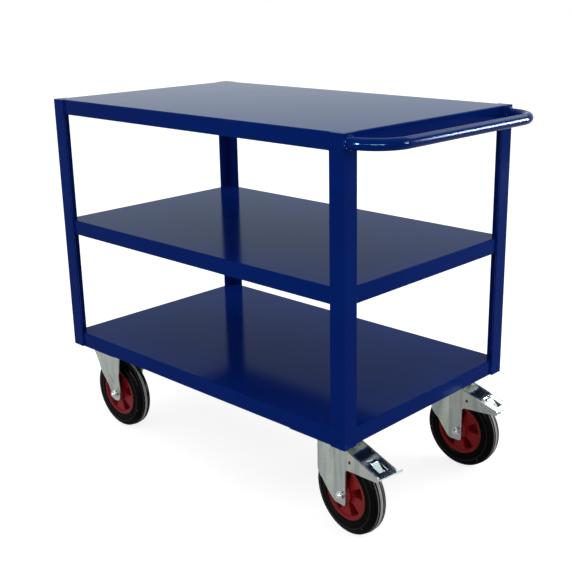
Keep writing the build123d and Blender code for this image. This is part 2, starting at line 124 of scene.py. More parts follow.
class TrolleyCastorSizes(bpy.types.PropertyGroup):
    """Sizes of the castors"""

    pressed_edge: length("Pressed edge", "Rounding of the cut edges of pressed steel", 0.9)
    pressed_wall: length("Pressed wall", "Sheet of the brackets and forks", 4.0)
    crown_radius: length("Crown radius", "Outside radius of a fork's round crown", 43.0)
    crown_drop: length("Crown drop", "Depth of the crown below the top of the castor's plate", 12.0)
    crown_lip: length("Crown lip", "Height of the rim round the ball race", 5.5)
    crown_hole: length("Crown hole", "Hole for the king pin", 16.2)
    arch_drop: length("Arch drop", "Depth at which the skirt opens for the tyre", 66.0)
    arch_width: length("Arch width", "Width of that opening", 54.0)
    skirt_drop: length("Skirt drop", "Depth of the skirt at its front", 86.0)
    cheek_drop: length("Cheek drop", "Depth of a cheek beside the king pin", 113.0)
    crease_place: length("Crease place", "From the king pin to the crease where a leg starts", 26.0)
    leg_gap: length("Leg gap", "Width over the two legs of a fork", 60.0)
    foot_front: length("Foot front", "From the king pin to the front of a leg's foot", 27.0)
    foot_back: length("Foot back", "From the king pin to the back of a leg", 64.0)
    foot_drop: length("Foot drop", "Depth of a leg's foot", 165.0)
    foot_round: length("Foot round", "Radius of the foot's corners", 7.0)
    notch_drop: length("Notch drop", "Depth at which the wing leaves the leg", 72.5)
    notch_round: length("Notch round", "Radius in that corner", 9.0)
    wing_start: length("Wing start", "From the king pin to where the top edge starts to fall", 20.0)
    wing_bend: length("Wing bend", "Radius of the bend in the top edge", 60.0)
    wing_reach: length("Wing reach", "From the king pin to the end of a wing", 168.0)
    toe_drop: length("Toe drop", "Depth of the top of a wing's end", 52.5)
    toe_depth: length("Toe depth", "Height of a wing's end", 11.5)
    toe_round: length("Toe round", "Radius of its corners", 4.0)
    wing_hole: length("Wing hole", "Hole in a wing", 8.0)
    wing_hole_reach: length("Wing hole reach", "From the king pin to that hole", 78.0)
    wing_hole_drop: length("Wing hole drop", "Depth of that hole", 50.0)
    bracket_bend: length("Bracket bend", "Outside radius where a bracket's plate turns down", 5.0)
    bracket_top: length("Bracket top", "Width of a bracket's leg under its plate", 116.0)
    bracket_waist: length("Bracket waist", "Width of the leg where it starts to narrow", 90.0)
    bracket_shoulder: length("Bracket shoulder", "Depth below the plate at which it does", 58.0)
    bracket_foot: length("Bracket foot", "Width of the leg at the axle", 39.5)
    bracket_gap: length("Bracket gap", "Width over the two legs at the axle", 60.0)
    dish_inner: length("Dish inner", "Radius of the flat round the axle", 17.0)
    dish_outer: length("Dish outer", "Radius at which the leg is full width again", 82.0)
    bracket_crease: length("Bracket crease", "How far a leg falls away past its two upright creases", 2.6)
    bracket_roll: length("Bracket roll", "How far the leg's two edges roll in", 4.5)
    moulded_edge: length("Moulded edge", "Rounding of the wheel centre's moulded edges", 1.1)
    machined_edge: length("Machined edge", "Chamfer of turned parts", 0.5)
    tyre_width: length("Tyre width", "Width across the tyre's flanks", 40.0)
    tyre_seat: length("Tyre seat", "Width of the tyre where it sits on the wheel centre", 36.0)
    tyre_depth: length("Tyre depth", "From the tyre's bore to its tread", 36.5)
    tread_width: length("Tread width", "Width of the flat of the tread", 22.0)
    groove_pitch: length("Groove pitch", "Distance between the two tread grooves", 11.0)
    groove_width: length("Groove width", "Width of a tread groove", 2.0)
    groove_depth: length("Groove depth", "Depth of a tread groove", 1.8)
    screw_size: length("Screw size", "Thread of the castor screws", 10.0)
    axle_size: length("Axle size", "Thread of the axle bolts", 12.0)
    axle_head: length("Axle head", "Size across the flats of the axle's head and nut", 19.0)


class TrolleyFinishes(bpy.types.PropertyGroup):
    """Colours of the finishes"""

    paint: colour("Paint", "Blue powder coat", (0.0008, 0.0128, 0.130))
    zinc: colour("Zinc", "Zinc plate on the pressed steel", (0.56, 0.615, 0.58))
    steel: colour("Steel", "Bright steel of screws, nuts and axles", (0.86, 0.88, 0.89))
    rubber: colour("Rubber", "Black tyre rubber", (0.0017, 0.0018, 0.0020))
    plastic: colour("Plastic", "Red moulded wheel centres", (0.205, 0.0042, 0.0062))
    nylon: colour("Nylon", "Pale bearing cages", (0.60, 0.56, 0.46))


class TrolleyStage(bpy.types.PropertyGroup):
    """Camera and light"""

    camera_place: bpy.props.FloatVectorProperty(
        name="Camera place",
        description="Where the camera stands",
        default=(1.7024, -1.7301, 1.2029),
        subtype="TRANSLATION",
    )
    camera_azimuth: angle("Camera azimuth", "Turn of the camera about the vertical", 43.2455)
    camera_elevation: angle("Camera elevation", "How far the camera looks down", 16.918)
    camera_roll: angle("Camera roll", "Turn of the camera about its own axis", -0.73)
    picture_width: number("Picture width", "Width of the square picture in pixels", 572.0)
    focal_pixels: number("Focal length", "Focal length in pixels of that picture", 973.66)
    centre_x: number("Centre across", "Pixel column of the optical axis", 310.35)
    centre_y: number("Centre down", "Pixel row of the optical axis", 281.51)
    room_light: number("Room light", "Even light from all round", 0.93)
    ceiling: colour("Ceiling", "Colour of the room above the white sweep", (0.65, 0.765, 0.79))
    floor_glow: number("Floor glow", "How far the floor is lifted to white where it is seen", 0.78)
    floor_sheen: number("Floor sheen", "How far it is lifted where polished surfaces mirror it", 0.20)
    floor_size: length("Floor size", "Width of the floor", 40000.0)


# Mesh helpers


def everything(bm):
    return bm.verts[:] + bm.edges[:] + bm.faces[:]


def of_kind(items, kind):
    """The vertices or the edges among what a mesh operation made."""
    return [item for item in items if isinstance(item, kind)]


def outer(low, high, way):
    """The end of a span that lies the given way: its high end when way is positive."""
    return high if way > 0 else low


def round_edges(bm, edges, radius, segments=2):
    if edges:
        bmesh.ops.bevel(
            bm,
            geom=edges,
            offset=radius,
            offset_type="OFFSET",
            segments=segments,
            profile=0.5,
            affect="EDGES",
            clamp_overlap=True,
            material=-1,
        )


def edges_between(bm, low, high):
    """Edges whose two faces turn by an angle from low to high."""
    return [edge for edge in bm.edges if edge.is_manifold and low <= edge.calc_face_angle(0.0) < high]


def new_piece(name, bm, finish, body, nodes=(), smooth=radians(40)):
    """Makes a finished mesh a piece that rides on its body and stands for its CAD nodes."""
    mesh = bpy.data.meshes.new(name)
    bm.to_mesh(mesh)
    bm.free()
    mesh.shade_smooth()
    mesh.set_sharp_from_angle(angle=smooth)
    mesh.materials.append(finish)
    piece = bpy.data.objects.new(name, mesh)
    bpy.context.scene.collection.objects.link(piece)
    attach(piece, body)
    if nodes:
        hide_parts(*nodes)
    return piece


def even_shading(piece):
    """Keeps large flat faces flat beside their rounded edges."""
    weighted = piece.modifiers.new("Even shading", "WEIGHTED_NORMAL")
    weighted.keep_sharp = True
    return piece


def thickened(piece, wall, edge):
    """Gives a sheet its wall, inwards, and rounds its cut edges."""
    sheet = piece.modifiers.new("Sheet", "SOLIDIFY")
    sheet.thickness = wall
    sheet.offset = -1.0
    sheet.use_even_offset = True
    cut = piece.modifiers.new("Cut edge", "BEVEL")
    cut.width = edge
    cut.segments = 2
    cut.limit_method = "ANGLE"
    cut.angle_limit = radians(60)
    return even_shading(piece)


def body_of(node):
    bodies = frame["record"]["behaviour"]["bodies"]
    return next(body for body, members in bodies.items() if node in members)


def merged_copy(node):
    """The node's solid as one closed mesh with its flat faces whole."""
    bm = bmesh.new()
    bm.from_mesh(frame["nodes"][node].data)
    bmesh.ops.remove_doubles(bm, verts=bm.verts, dist=MERGE)
    bmesh.ops.dissolve_limit(bm, angle_limit=radians(0.5), verts=bm.verts, edges=bm.edges)
    return bm


def dressed(node, finish, edge):
    """A copy of a node with rounded edges, in its place."""
    bm = merged_copy(node)
    round_edges(bm, edges_between(bm, radians(42), pi), edge)
    return even_shading(new_piece(f"{node}_piece", bm, finish, body_of(node), (node,)))


def painted_node(node, finish):
    """A CAD node that keeps its shape and gets its finish."""
    materials = frame["nodes"][node].data.materials
    materials.clear()
    materials.append(finish)


def axis_place(centre, axis):
    """A placement whose local Z runs along axis and whose local X stays level."""
    up = Vector(axis).normalized()
    along = Vector((0, 0, 1)).cross(up) if abs(up.z) < 0.9 else Vector((1, 0, 0))
    along.normalize()
    across = up.cross(along)
    turn = Matrix((along, across, up)).transposed()
    return Matrix.Translation(centre) @ turn.to_4x4()


def hexagon_radius(turn, half_flats):
    """Distance from the middle to a hexagon's side in the direction of turn."""
    sixth = pi / 3
    return half_flats / cos((turn + sixth / 2) % sixth - sixth / 2)


def loft_rings(bm, stations, place, segments=36, closed=False):
    """Extrudes a ring of points through stations of (height, radius) or (height, radius, chamfer).

    A station with a chamfer is a hexagon: its radius is half the size across the flats, and its
    corners drop by the usual 30 degrees when the chamfer is -1 or 1, the way it faces.
    """

    def by_turn(vert):
        return atan2(vert.co.y, vert.co.x) % (2 * pi)

    made = bmesh.ops.create_circle(bm, cap_ends=False, radius=1.0, segments=segments)["verts"]
    ring = sorted(made, key=by_turn)
    rings = [ring]
    for _ in stations[1:]:
        edges = [edge for edge in bm.edges if edge.verts[0] in ring and edge.verts[1] in ring]
        made = bmesh.ops.extrude_edge_only(bm, edges=edges)["geom"]
        ring = sorted(of_kind(made, BMVert), key=by_turn)
        rings.append(ring)
    turns = [2 * pi * index / segments for index in range(segments)]
    for ring, (height, radius, *chamfer) in zip(rings, stations):
        for vert, turn in zip(ring, turns):
            reach = hexagon_radius(turn, radius) if chamfer else radius
            fall = (reach - radius) * tan(radians(30)) * sum(chamfer)
            vert.co = Vector((reach * cos(turn), reach * sin(turn), height - fall))
    if closed:
        bmesh.ops.bridge_loops(bm, edges=loop_edges(rings[0]) + loop_edges(rings[-1]))
    else:
        bm.faces.new(rings[0])
        bm.faces.new(rings[-1])
    verts = [vert for ring in rings for vert in ring]
    bmesh.ops.transform(bm, matrix=place, verts=verts)
    return verts


def loop_edges(ring):
    """The edges that run round a ring of vertices, each once and in a steady order."""
    members = set(ring)
    found = (edge for vert in ring for edge in vert.link_edges if members.issuperset(edge.verts))
    return list(dict.fromkeys(found))


def finished(bm):
    """Turns every face outwards once the doubles are merged."""
    bmesh.ops.remove_doubles(bm, verts=bm.verts, dist=MERGE)
    bmesh.ops.recalc_face_normals(bm, faces=bm.faces)
    return bm


def spun(bm, geom, turn, steps, centre=(0, 0, 0)):
    """Spins a section about an upright axis, and closes a full turn."""
    full = turn == 2 * pi
    return bmesh.ops.spin(
        bm, geom=geom, cent=centre, axis=(0, 0, 1), angle=turn, steps=steps, use_merge=full
    )["geom_last"]


def mirrored(bm):
    """Adds the other half of a sheet, across its middle plane."""
    bmesh.ops.mirror(bm, geom=everything(bm), matrix=Matrix(), merge_dist=TOUCH, axis="Y")


def faced(bm, way):
    """Turns a sheet's faces so that the one farthest along way faces that way."""
    way = Vector(way)
    bmesh.ops.recalc_face_normals(bm, faces=bm.faces)
    farthest = max(bm.faces, key=lambda face: face.calc_center_median().dot(way))
    if farthest.normal.dot(way) < 0:
        bmesh.ops.reverse_faces(bm, faces=bm.faces)


# Shared shader effects


def group_tree(name, result, **numbers):
    """A new shader node group that takes a place and some numbers, and gives one number."""
    tree = bpy.data.node_groups.new(name, "ShaderNodeTree")
    tree.interface.new_socket("Vector", in_out="INPUT", socket_type="NodeSocketVector")
    for label, value in numbers.items():
        label = label.replace("_", " ")
        socket = tree.interface.new_socket(label, in_out="INPUT", socket_type="NodeSocketFloat")
        socket.default_value = value
    tree.interface.new_socket(result, in_out="OUTPUT", socket_type="NodeSocketFloat")
    return tree, tree.nodes.new("NodeGroupInput").outputs, tree.nodes.new("NodeGroupOutput").inputs[0]


def add_node(tree, kind, **settings):
    node = tree.nodes.new(kind)
    for key, value in settings.items():
        setattr(node, key, value)
    return node


def feed(tree, socket, value):
    """Links a socket to another one, or sets it to a number or a colour."""
    if isinstance(value, bpy.types.NodeSocket):
        tree.links.new(value, socket)
    elif isinstance(value, (int, float)):
        socket.default_value = value
    else:
        socket.default_value = (*value[:3], 1.0)


def maths(tree, operation, *values):
    """A Math node whose inputs are sockets or numbers."""
    node = add_node(tree, "ShaderNodeMath", operation=operation)
    for socket, value in zip(node.inputs, values):
        feed(tree, socket, value)
    return node.outputs[0]


def noise(tree, vector, scale, detail=2.0, roughness=0.5):
    node = add_node(tree, "ShaderNodeTexNoise")
    values = {"Vector": vector, "Scale": scale, "Detail": detail, "Roughness": roughness}
    for name, value in values.items():
        feed(tree, node.inputs[name], value)
    return node.outputs["Fac"]


def remap(tree, value, low, high, to_low, to_high):
    node = add_node(tree, "ShaderNodeMapRange", clamp=True)
    for socket, source in zip(node.inputs, (value, low, high, to_low, to_high)):
        feed(tree, socket, source)
    return node.outputs["Result"]


def mix_colour(tree, factor, first, second):
    node = add_node(tree, "ShaderNodeMix", data_type="RGBA")
    for index, value in ((0, factor), (6, first), (7, second)):
        feed(tree, node.inputs[index], value)
    return node.outputs[2]


def cloud_group():
    """Soft uneven patches at two sizes, for tone and gloss."""
    tree, source, result = group_tree("Clouding", "Value", Patches_per_metre=30.0, Low=0.0, High=1.0)
    vector, scale = source["Vector"], source["Patches per metre"]
    broad = maths(tree, "MULTIPLY", noise(tree, vector, scale, 3.0), 0.65)
    fine = maths(tree, "MULTIPLY", noise(tree, vector, maths(tree, "MULTIPLY", scale, 6.0), 3.0), 0.35)
    both = maths(tree, "ADD", broad, fine)
    feed(tree, result, remap(tree, both, 0.33, 0.67, source["Low"], source["High"]))
    return tree


def edge_group():
    """How near a surface is to a sharp edge, broken up: a mask for rubbed wear and for painted edge highlights."""
    tree, source, result = group_tree("Edge rub", "Mask", Reach=0.001, Breaks_per_metre=120.0)
    rounded = add_node(tree, "ShaderNodeBevel", samples=6)
    feed(tree, rounded.inputs["Radius"], source["Reach"])
    surface = add_node(tree, "ShaderNodeNewGeometry")
    facing = add_node(tree, "ShaderNodeVectorMath", operation="DOT_PRODUCT")
    feed(tree, facing.inputs[0], rounded.outputs["Normal"])
    feed(tree, facing.inputs[1], surface.outputs["Normal"])
    near = remap(tree, facing.outputs["Value"], 0.995, 0.86, 0.0, 1.0)
    breaks = noise(tree, source["Vector"], source["Breaks per metre"], 4.0, 0.65)
    feed(tree, result, maths(tree, "MULTIPLY", near, remap(tree, breaks, 0.36, 0.62, 0.15, 1.0)))
    return tree


def dust_group():
    """Thin dust that settles on what faces up, in uneven patches."""
    tree, source, result = group_tree("Settled dust", "Mask", Patches_per_metre=25.0, Amount=0.1)
    parts = add_node(tree, "ShaderNodeSeparateXYZ")
    feed(tree, parts.inputs[0], add_node(tree, "ShaderNodeNewGeometry").outputs["Normal"])
    upward = remap(tree, parts.outputs["Z"], 0.35, 0.95, 0.0, 1.0)
    patches = noise(tree, source["Vector"], source["Patches per metre"], 5.0, 0.6)
    mask = maths(tree, "MULTIPLY", upward, remap(tree, patches, 0.4, 0.7, 0.0, 1.0))
    feed(tree, result, maths(tree, "MULTIPLY", mask, source["Amount"]))
    return tree


def grain_group():
    """Height of a sprayed or moulded skin: a fine pebble over a slow wave."""
    tree, source, result = group_tree(
        "Skin grain", "Height", Pebbles_per_metre=500.0, Waves_per_metre=8.0, Wave_share=0.5
    )
    pebble = noise(tree, source["Vector"], source["Pebbles per metre"], 1.0)
    wave = noise(tree, source["Vector"], source["Waves per metre"], 1.0)
    feed(tree, result, maths(tree, "ADD", pebble, maths(tree, "MULTIPLY", wave, source["Wave share"])))
    return tree


GROUP_MAKERS = {
    "Clouding": cloud_group,
    "Edge rub": edge_group,
    "Settled dust": dust_group,
    "Skin grain": grain_group,
}


def effect(tree, name, vector, **values):
    """Places a shared effect in a material and returns its one output."""
    group = bpy.data.node_groups.get(name) or GROUP_MAKERS[name]()
    node = add_node(tree, "ShaderNodeGroup", node_tree=group)
    feed(tree, node.inputs["Vector"], vector)
    for key, value in values.items():
        node.inputs[key.replace("_", " ")].default_value = value
    return node.outputs[0]


def start_finish(name):
    """A new material with its tree, its shader and Object coordinates."""
    finish = bpy.data.materials.new(name)
    finish.use_nodes = True
    tree = finish.node_tree
    shader = tree.nodes["Principled BSDF"]
    place = add_node(tree, "ShaderNodeTexCoord").outputs["Object"]
    return finish, tree, shader, place


def tinted(value, *factors):
    """A colour made lighter or darker by one factor, or by one for each of its parts."""
    factors = factors * 3 if len(factors) == 1 else factors
    return tuple(min(1.0, part * factor) for part, factor in zip(value, factors))


def clouded(tree, place, patches, low=0.0, high=1.0):
    """Soft patches, so many to the metre, between two values."""
    return effect(tree, "Clouding", place, Patches_per_metre=patches, Low=low, High=high)


def mottled(tree, place, patches, value, dark, light):
    """A colour that drifts in soft patches between a darker and a lighter tint of itself."""
    return mix_colour(tree, clouded(tree, place, patches), tinted(value, dark), tinted(value, light))


def marked(tree, name):
    """A mask that the piece's own mesh carries."""
    return add_node(tree, "ShaderNodeAttribute", attribute_name=name).outputs["Fac"]


def surfaced(tree, shader, base, roughness):
    """Gives a finish its colour and its gloss."""
    feed(tree, shader.inputs["Base Color"], base)
    feed(tree, shader.inputs["Roughness"], roughness)


def grained(tree, shader, place, pebbles, waves, wave_share, depth):
    """Gives a finish its skin: a fine pebble and a slow wave, both counted per metre."""
    height = effect(
        tree, "Skin grain", place, Pebbles_per_metre=pebbles, Waves_per_metre=waves, Wave_share=wave_share
    )
    raised = add_node(tree, "ShaderNodeBump")
    feed(tree, raised.inputs["Distance"], depth)
    feed(tree, raised.inputs["Height"], height)
    feed(tree, shader.inputs["Normal"], raised.outputs["Normal"])


def finish_named(name):
    """A material by name, made when it is first asked for."""
    return bpy.data.materials.get(name) or FINISH_MAKERS[name]()


# What the paint mirrors least is red
PAINT_GLINT = (0.1, 0.65, 1.0)
PAINT_DUST = (0.30, 0.30, 0.31)
# The zinc's drawn bands run upright, and each of their two tints is a factor for red, green and blue
ZINC_DRAW = (1.0, 1.0, 0.16)
ZINC_WARM = (1.13, 1.04, 0.96)
ZINC_COOL = (0.66, 0.74, 0.78)
# paler zinc on sharp edges: partly rubbed wear, partly a painted highlight on the cut edges
ZINC_EDGE_WEAR_AND_HIGHLIGHT = (0.96, 0.98, 0.97)
# pale grey of the rolled tread: partly wear, partly a painted sheen
RUBBER_ROLLED_SHEEN = (0.40, 0.40, 0.39)
RUBBER_DUST = (0.16, 0.155, 0.145)
RED_RUBBED = (0.27, 0.018, 0.018)
RED_DUST = (0.30, 0.24, 0.22)
GREASE = (0.22, 0.19, 0.14)


def powder_coat(name="powder_coat", gloss=1.10, peel=0.045 * MM):
    """Glossy blue powder coat: a faint orange peel, slow sheet waves, paler edges where the coat is thinner that
    also paint a highlight along the folds, and a little dust.
    """
    blue = bpy.context.scene.trolley_finishes.paint
    finish, tree, shader, place = start_finish(name)
    shader.inputs["IOR"].default_value = gloss
    feed(tree, shader.inputs["Specular Tint"], PAINT_GLINT)
    coat = mottled(tree, place, 5.0, blue, 0.92, 1.08)
    near_edge = effect(tree, "Edge rub", place, Reach=1.2 * MM, Breaks_per_metre=90.0)
    # paler edges: partly a thinner coat, partly a painted highlight along the folds
    thin_coat_and_highlight = mix_colour(tree, maths(tree, "MULTIPLY", near_edge, 0.35), coat, tinted(blue, 2.4))
    dust = effect(tree, "Settled dust", place, Patches_per_metre=9.0, Amount=0.008)
    satin = clouded(tree, place, 7.0, 0.09, 0.115)
    dulled = maths(tree, "ADD", satin, maths(tree, "MULTIPLY", dust, 2.0))
    surfaced(tree, shader, mix_colour(tree, dust, thin_coat_and_highlight, PAINT_DUST), dulled)
    grained(tree, shader, place, 420.0, 5.0, 3.0, peel)
    return finish


def handle_coat():
    """The same coat on the handle, polished by hands."""
    return powder_coat("handle_coat", 1.15, 0.012 * MM)


def pressed_zinc(name="pressed_zinc", dull=(0.24, 0.34), shine=1.0):
    """Bright zinc over pressed steel: drawn bands, warm and cool, painted shade where the mesh marks it, and paler
    edges that are partly rubbed wear and partly a painted highlight.
    """
    zinc = tinted(bpy.context.scene.trolley_finishes.zinc, shine)
    finish, tree, shader, place = start_finish(name)
    shader.inputs["Metallic"].default_value = 1.0
    plate = mottled(tree, place, 14.0, zinc, 0.92, 1.08)
    drawn = add_node(tree, "ShaderNodeMapping")
    drawn.inputs["Scale"].default_value = ZINC_DRAW
    feed(tree, drawn.inputs["Vector"], place)
    along = drawn.outputs["Vector"]
    warm = remap(tree, noise(tree, along, 38.0, 1.5), 0.45, 0.62, 0.0, 0.9)
    tinged = mix_colour(tree, warm, plate, tinted(zinc, *ZINC_WARM))
    cool = remap(tree, noise(tree, along, 58.0, 1.5), 0.50, 0.66, 0.0, 0.7)
    banded = mix_colour(tree, cool, tinged, tinted(zinc, *ZINC_COOL))
    # painted shade: the zinc darkens where the mesh marks a bracket leg's dish or a fork's crease
    shade_share = maths(tree, "MULTIPLY", marked(tree, "grime"), 0.6)
    with_painted_shade = mix_colour(tree, shade_share, banded, tinted(zinc, 0.38))
    # paler edges: partly rubbed wear, partly a painted highlight
    near_edge = effect(tree, "Edge rub", place, Reach=2.0 * MM, Breaks_per_metre=50.0)
    gloss = maths(tree, "SUBTRACT", clouded(tree, place, 24.0, *dull), maths(tree, "MULTIPLY", near_edge, 0.10))
    surfaced(tree, shader, mix_colour(tree, near_edge, with_painted_shade, ZINC_EDGE_WEAR_AND_HIGHLIGHT), gloss)
    grained(tree, shader, place, 900.0, 36.0, 5.0, 0.014 * MM)
    return finish


def pedal_zinc():
    """The same zinc on the smoother sheet of the pedals."""
    return pressed_zinc("pedal_zinc", (0.11, 0.18), 1.4)


def bright_steel():
    """Turned and plated steel of fasteners and axles."""
    steel = bpy.context.scene.trolley_finishes.steel
    finish, tree, shader, place = start_finish("bright_steel")
    shader.inputs["Metallic"].default_value = 1.0
    plated = mottled(tree, place, 180.0, steel, 0.85, 1.1)
    # painted shade: near black where the mesh marks the foot of a head or nut
    with_painted_shade = mix_colour(tree, marked(tree, "grime"), plated, tinted(steel, 0.04))
    surfaced(tree, shader, with_painted_shade, clouded(tree, place, 300.0, 0.05, 0.11))
    grained(tree, shader, place, 2200.0, 150.0, 1.0, 0.012 * MM)
    return finish


def tyre_rubber():
    """Moulded rubber, greyed where the tread has rolled, which also paints the tread's sheen into its colour, and
    where dust clings.
    """
    rubber = bpy.context.scene.trolley_finishes.rubber
    finish, tree, shader, place = start_finish("tyre_rubber")
    shader.inputs["IOR"].default_value = 1.10
    fresh = mottled(tree, place, 25.0, rubber, 0.8, 1.35)
    # the rolled marks: partly wear, partly a painted sheen where the tread would mirror the room
    worn_and_sheen = maths(tree, "MULTIPLY", marked(tree, "rolled"), clouded(tree, place, 40.0, 0.72, 1.0))
    greyed = mix_colour(tree, worn_and_sheen, fresh, RUBBER_ROLLED_SHEEN)
    dust = effect(tree, "Settled dust", place, Patches_per_metre=60.0, Amount=0.06)
    gloss = clouded(tree, place, 40.0, 0.22, 0.34)
    dulled = maths(tree, "ADD", gloss, maths(tree, "MULTIPLY", worn_and_sheen, 0.2))
    surfaced(tree, shader, mix_colour(tree, dust, greyed, RUBBER_DUST), dulled)
    grained(tree, shader, place, 1400.0, 60.0, 1.0, 0.05 * MM)
    return finish


def moulded_red():
    """Satin moulded plastic with flow marks and paler rubbed edges."""
    red = bpy.context.scene.trolley_finishes.plastic
    finish, tree, shader, place = start_finish("moulded_red")
    shader.inputs["IOR"].default_value = 1.29
    body = mottled(tree, place, 35.0, red, 0.85, 1.12)
    near_edge = effect(tree, "Edge rub", place, Reach=1.2 * MM, Breaks_per_metre=150.0)
    edged = mix_colour(tree, maths(tree, "MULTIPLY", near_edge, 0.4), body, RED_RUBBED)
    dust = effect(tree, "Settled dust", place, Patches_per_metre=70.0, Amount=0.06)
    gloss = clouded(tree, place, 80.0, 0.30, 0.42)
    surfaced(tree, shader, mix_colour(tree, dust, edged, RED_DUST), gloss)
    grained(tree, shader, place, 1800.0, 45.0, 1.5, 0.03 * MM)
    return finish


def bearing_nylon():
    """Pale nylon of the roller cages, greyed by grease."""
    nylon = bpy.context.scene.trolley_finishes.nylon
    finish, tree, shader, place = start_finish("bearing_nylon")
    greased = mix_colour(tree, clouded(tree, place, 120.0, 0.0, 0.6), nylon, GREASE)
    surfaced(tree, shader, greased, clouded(tree, place, 90.0, 0.32, 0.5))
    return finish


FINISH_MAKERS = {
    "powder_coat": powder_coat,
    "handle_coat": handle_coat,
    "pressed_zinc": pressed_zinc,
    "pedal_zinc": pedal_zinc,
    "bright_steel": bright_steel,
    "tyre_rubber": tyre_rubber,
    "moulded_red": moulded_red,
    "bearing_nylon": bearing_nylon,
}


# Pieces of the welded frame


def tray_sheet(low, high, bend):
    """An upturned box without its floor, its folded edges rounded."""
    bm = bmesh.new()
    bmesh.ops.create_cube(bm, size=1.0)
    bmesh.ops.scale(bm, vec=high - low, verts=bm.verts)
    bmesh.ops.translate(bm, vec=(low + high) / 2, verts=bm.verts)
    bottom = min(bm.faces, key=lambda face: face.calc_center_median().z)
    rim_edges = set(bottom.edges)
    bmesh.ops.delete(bm, geom=[bottom], context="FACES_ONLY")
    round_edges(bm, [edge for edge in bm.edges if edge not in rim_edges], bend, 6)
    return bm


class TROLLEY_OT_trays(bpy.types.Operator):
    """Fold the three trays from sheet"""

    bl_idname = "trolley.trays"
    bl_label = "Trays"

    def execute(self, context):
        sizes = context.scene.trolley_frame
        paint = finish_named("powder_coat")
        for tray in TRAYS:
            node = f"{tray}_shelf"
            bm = tray_sheet(*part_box(node), sizes.tray_bend)
            piece = new_piece(f"{tray}_tray", bm, paint, "frame", (node,))
            thickened(piece, sizes.sheet, sizes.cut_edge)
        return {"FINISHED"}


def angle_post(low, high, end, side, sizes):
    """A rolled angle with its corner towards end and side."""
    corner = Vector((outer(low.x, high.x, end), outer(low.y, high.y, side), low.z))
    leg = high.x - low.x
    wall = sizes.post_wall
    section = ((0, 0), (leg, 0), (leg, wall), (wall, wall), (wall, leg), (0, leg))
    bm = bmesh.new()
    verts = [bm.verts.new(corner + Vector((-end * x, -side * y, 0))) for x, y in section]
    made = bmesh.ops.extrude_face_region(bm, geom=[bm.faces.new(verts)])["geom"]
    bmesh.ops.translate(bm, vec=(0, 0, high.z - low.z), verts=of_kind(made, BMVert))
    rounding = {
        (0, 0): sizes.post_corner,
        (leg, wall): sizes.post_toe,
        (wall, leg): sizes.post_toe,
        (wall, wall): sizes.post_root,
    }
    for (x, y), radius in rounding.items():
        place = corner + Vector((-end * x, -side * y, 0))
        upright = [
            edge for edge in bm.edges if all((vert.co - place).xy.length < TOUCH for vert in edge.verts)
        ]
        round_edges(bm, upright, radius, 5)
    level = [edge for edge in bm.edges if abs(edge.verts[0].co.z - edge.verts[1].co.z) < TOUCH]
    round_edges(bm, level, sizes.cut_edge)
    bmesh.ops.recalc_face_normals(bm, faces=bm.faces)
    return bm


class TROLLEY_OT_posts(bpy.types.Operator):
    """Roll the four angle posts"""

    bl_idname = "trolley.posts"
    bl_label = "Posts"

    def execute(self, context):
        sizes = context.scene.trolley_frame
        paint = finish_named("powder_coat")
        for post, (end, side) in POSTS.items():
            node = f"post_{post}"
            bm = angle_post(*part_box(node), end, side, sizes)
            even_shading(new_piece(f"{post}_post", bm, paint, "frame", (node,)))
        return {"FINISHED"}


def handle_line():
    """The handle's tube: its radius, its level, and at its middle its first and last x and half width."""
    low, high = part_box("handle")
    radius = (high.z - low.z) / 2
    return radius, (low.z + high.z) / 2, low.x, high.x - radius, high.y - radius


TUBE_SIDES = 48
TUBE_BEND_STEPS = 20


def bent_tube(bend):
    """The handle: out from one post, round two bends and back to the other."""
    radius, level, start, reach, side = handle_line()
    bm = bmesh.new()
    place = Matrix.Translation((start, -side, level)) @ Euler((0, pi / 2, 0)).to_matrix().to_4x4()
    bmesh.ops.create_circle(bm, cap_ends=True, radius=radius, segments=TUBE_SIDES, matrix=place)
    edges = bm.edges[:]

    def run(step):
        made = bmesh.ops.extrude_edge_only(bm, edges=edges)["geom"]
        ring = of_kind(made, BMVert)
        bmesh.ops.translate(bm, vec=step, verts=ring)
        return [edge for edge in of_kind(made, BMEdge) if set(edge.verts).issubset(ring)]

    def turn(centre):
        return of_kind(spun(bm, edges, pi / 2, TUBE_BEND_STEPS, centre), BMEdge)

    straight = reach - bend - start
    edges = run((straight, 0, 0))
    edges = turn((reach - bend, -side + bend, level))
    edges = run((0, 2 * (side - bend), 0))
    edges = turn((reach - bend, side - bend, level))
    edges = run((-straight, 0, 0))
    bmesh.ops.contextual_create(bm, geom=edges)
    return finished(bm)


class TROLLEY_OT_handle(bpy.types.Operator):
    """Bend the push handle"""

    bl_idname = "trolley.handle"
    bl_label = "Handle"

    def execute(self, context):
        bm = bent_tube(context.scene.trolley_frame.handle_bend)
        paint = finish_named("handle_coat")
        even_shading(new_piece("push_handle", bm, paint, "frame", ("handle",)))
        return {"FINISHED"}


# How a weld bead swells: once each ripple, slowly, and out of step, each with its share of the radius
BEAD_SWELL, BEAD_SLOW_SWELL, BEAD_ODD_SWELL = 0.15, 0.14, 0.08
BEAD_SIDES = 12
BEAD_STEPS_PER_RIPPLE = 3
# the share of its radius with which a straight bead starts and ends, and how fast it fills out
BEAD_END, BEAD_FILL = 0.35, 4.0
# how far a bead's middle stands off the rim, as a share of its radius
BEAD_STAND_OFF = 0.3
# the handle's beads: how far out and how far round the tube they lie, in radii, and their longer ripple
HANDLE_BEAD_OUT, HANDLE_BEAD_ROUND, HANDLE_RIPPLE = 0.4, 0.2, 1.6


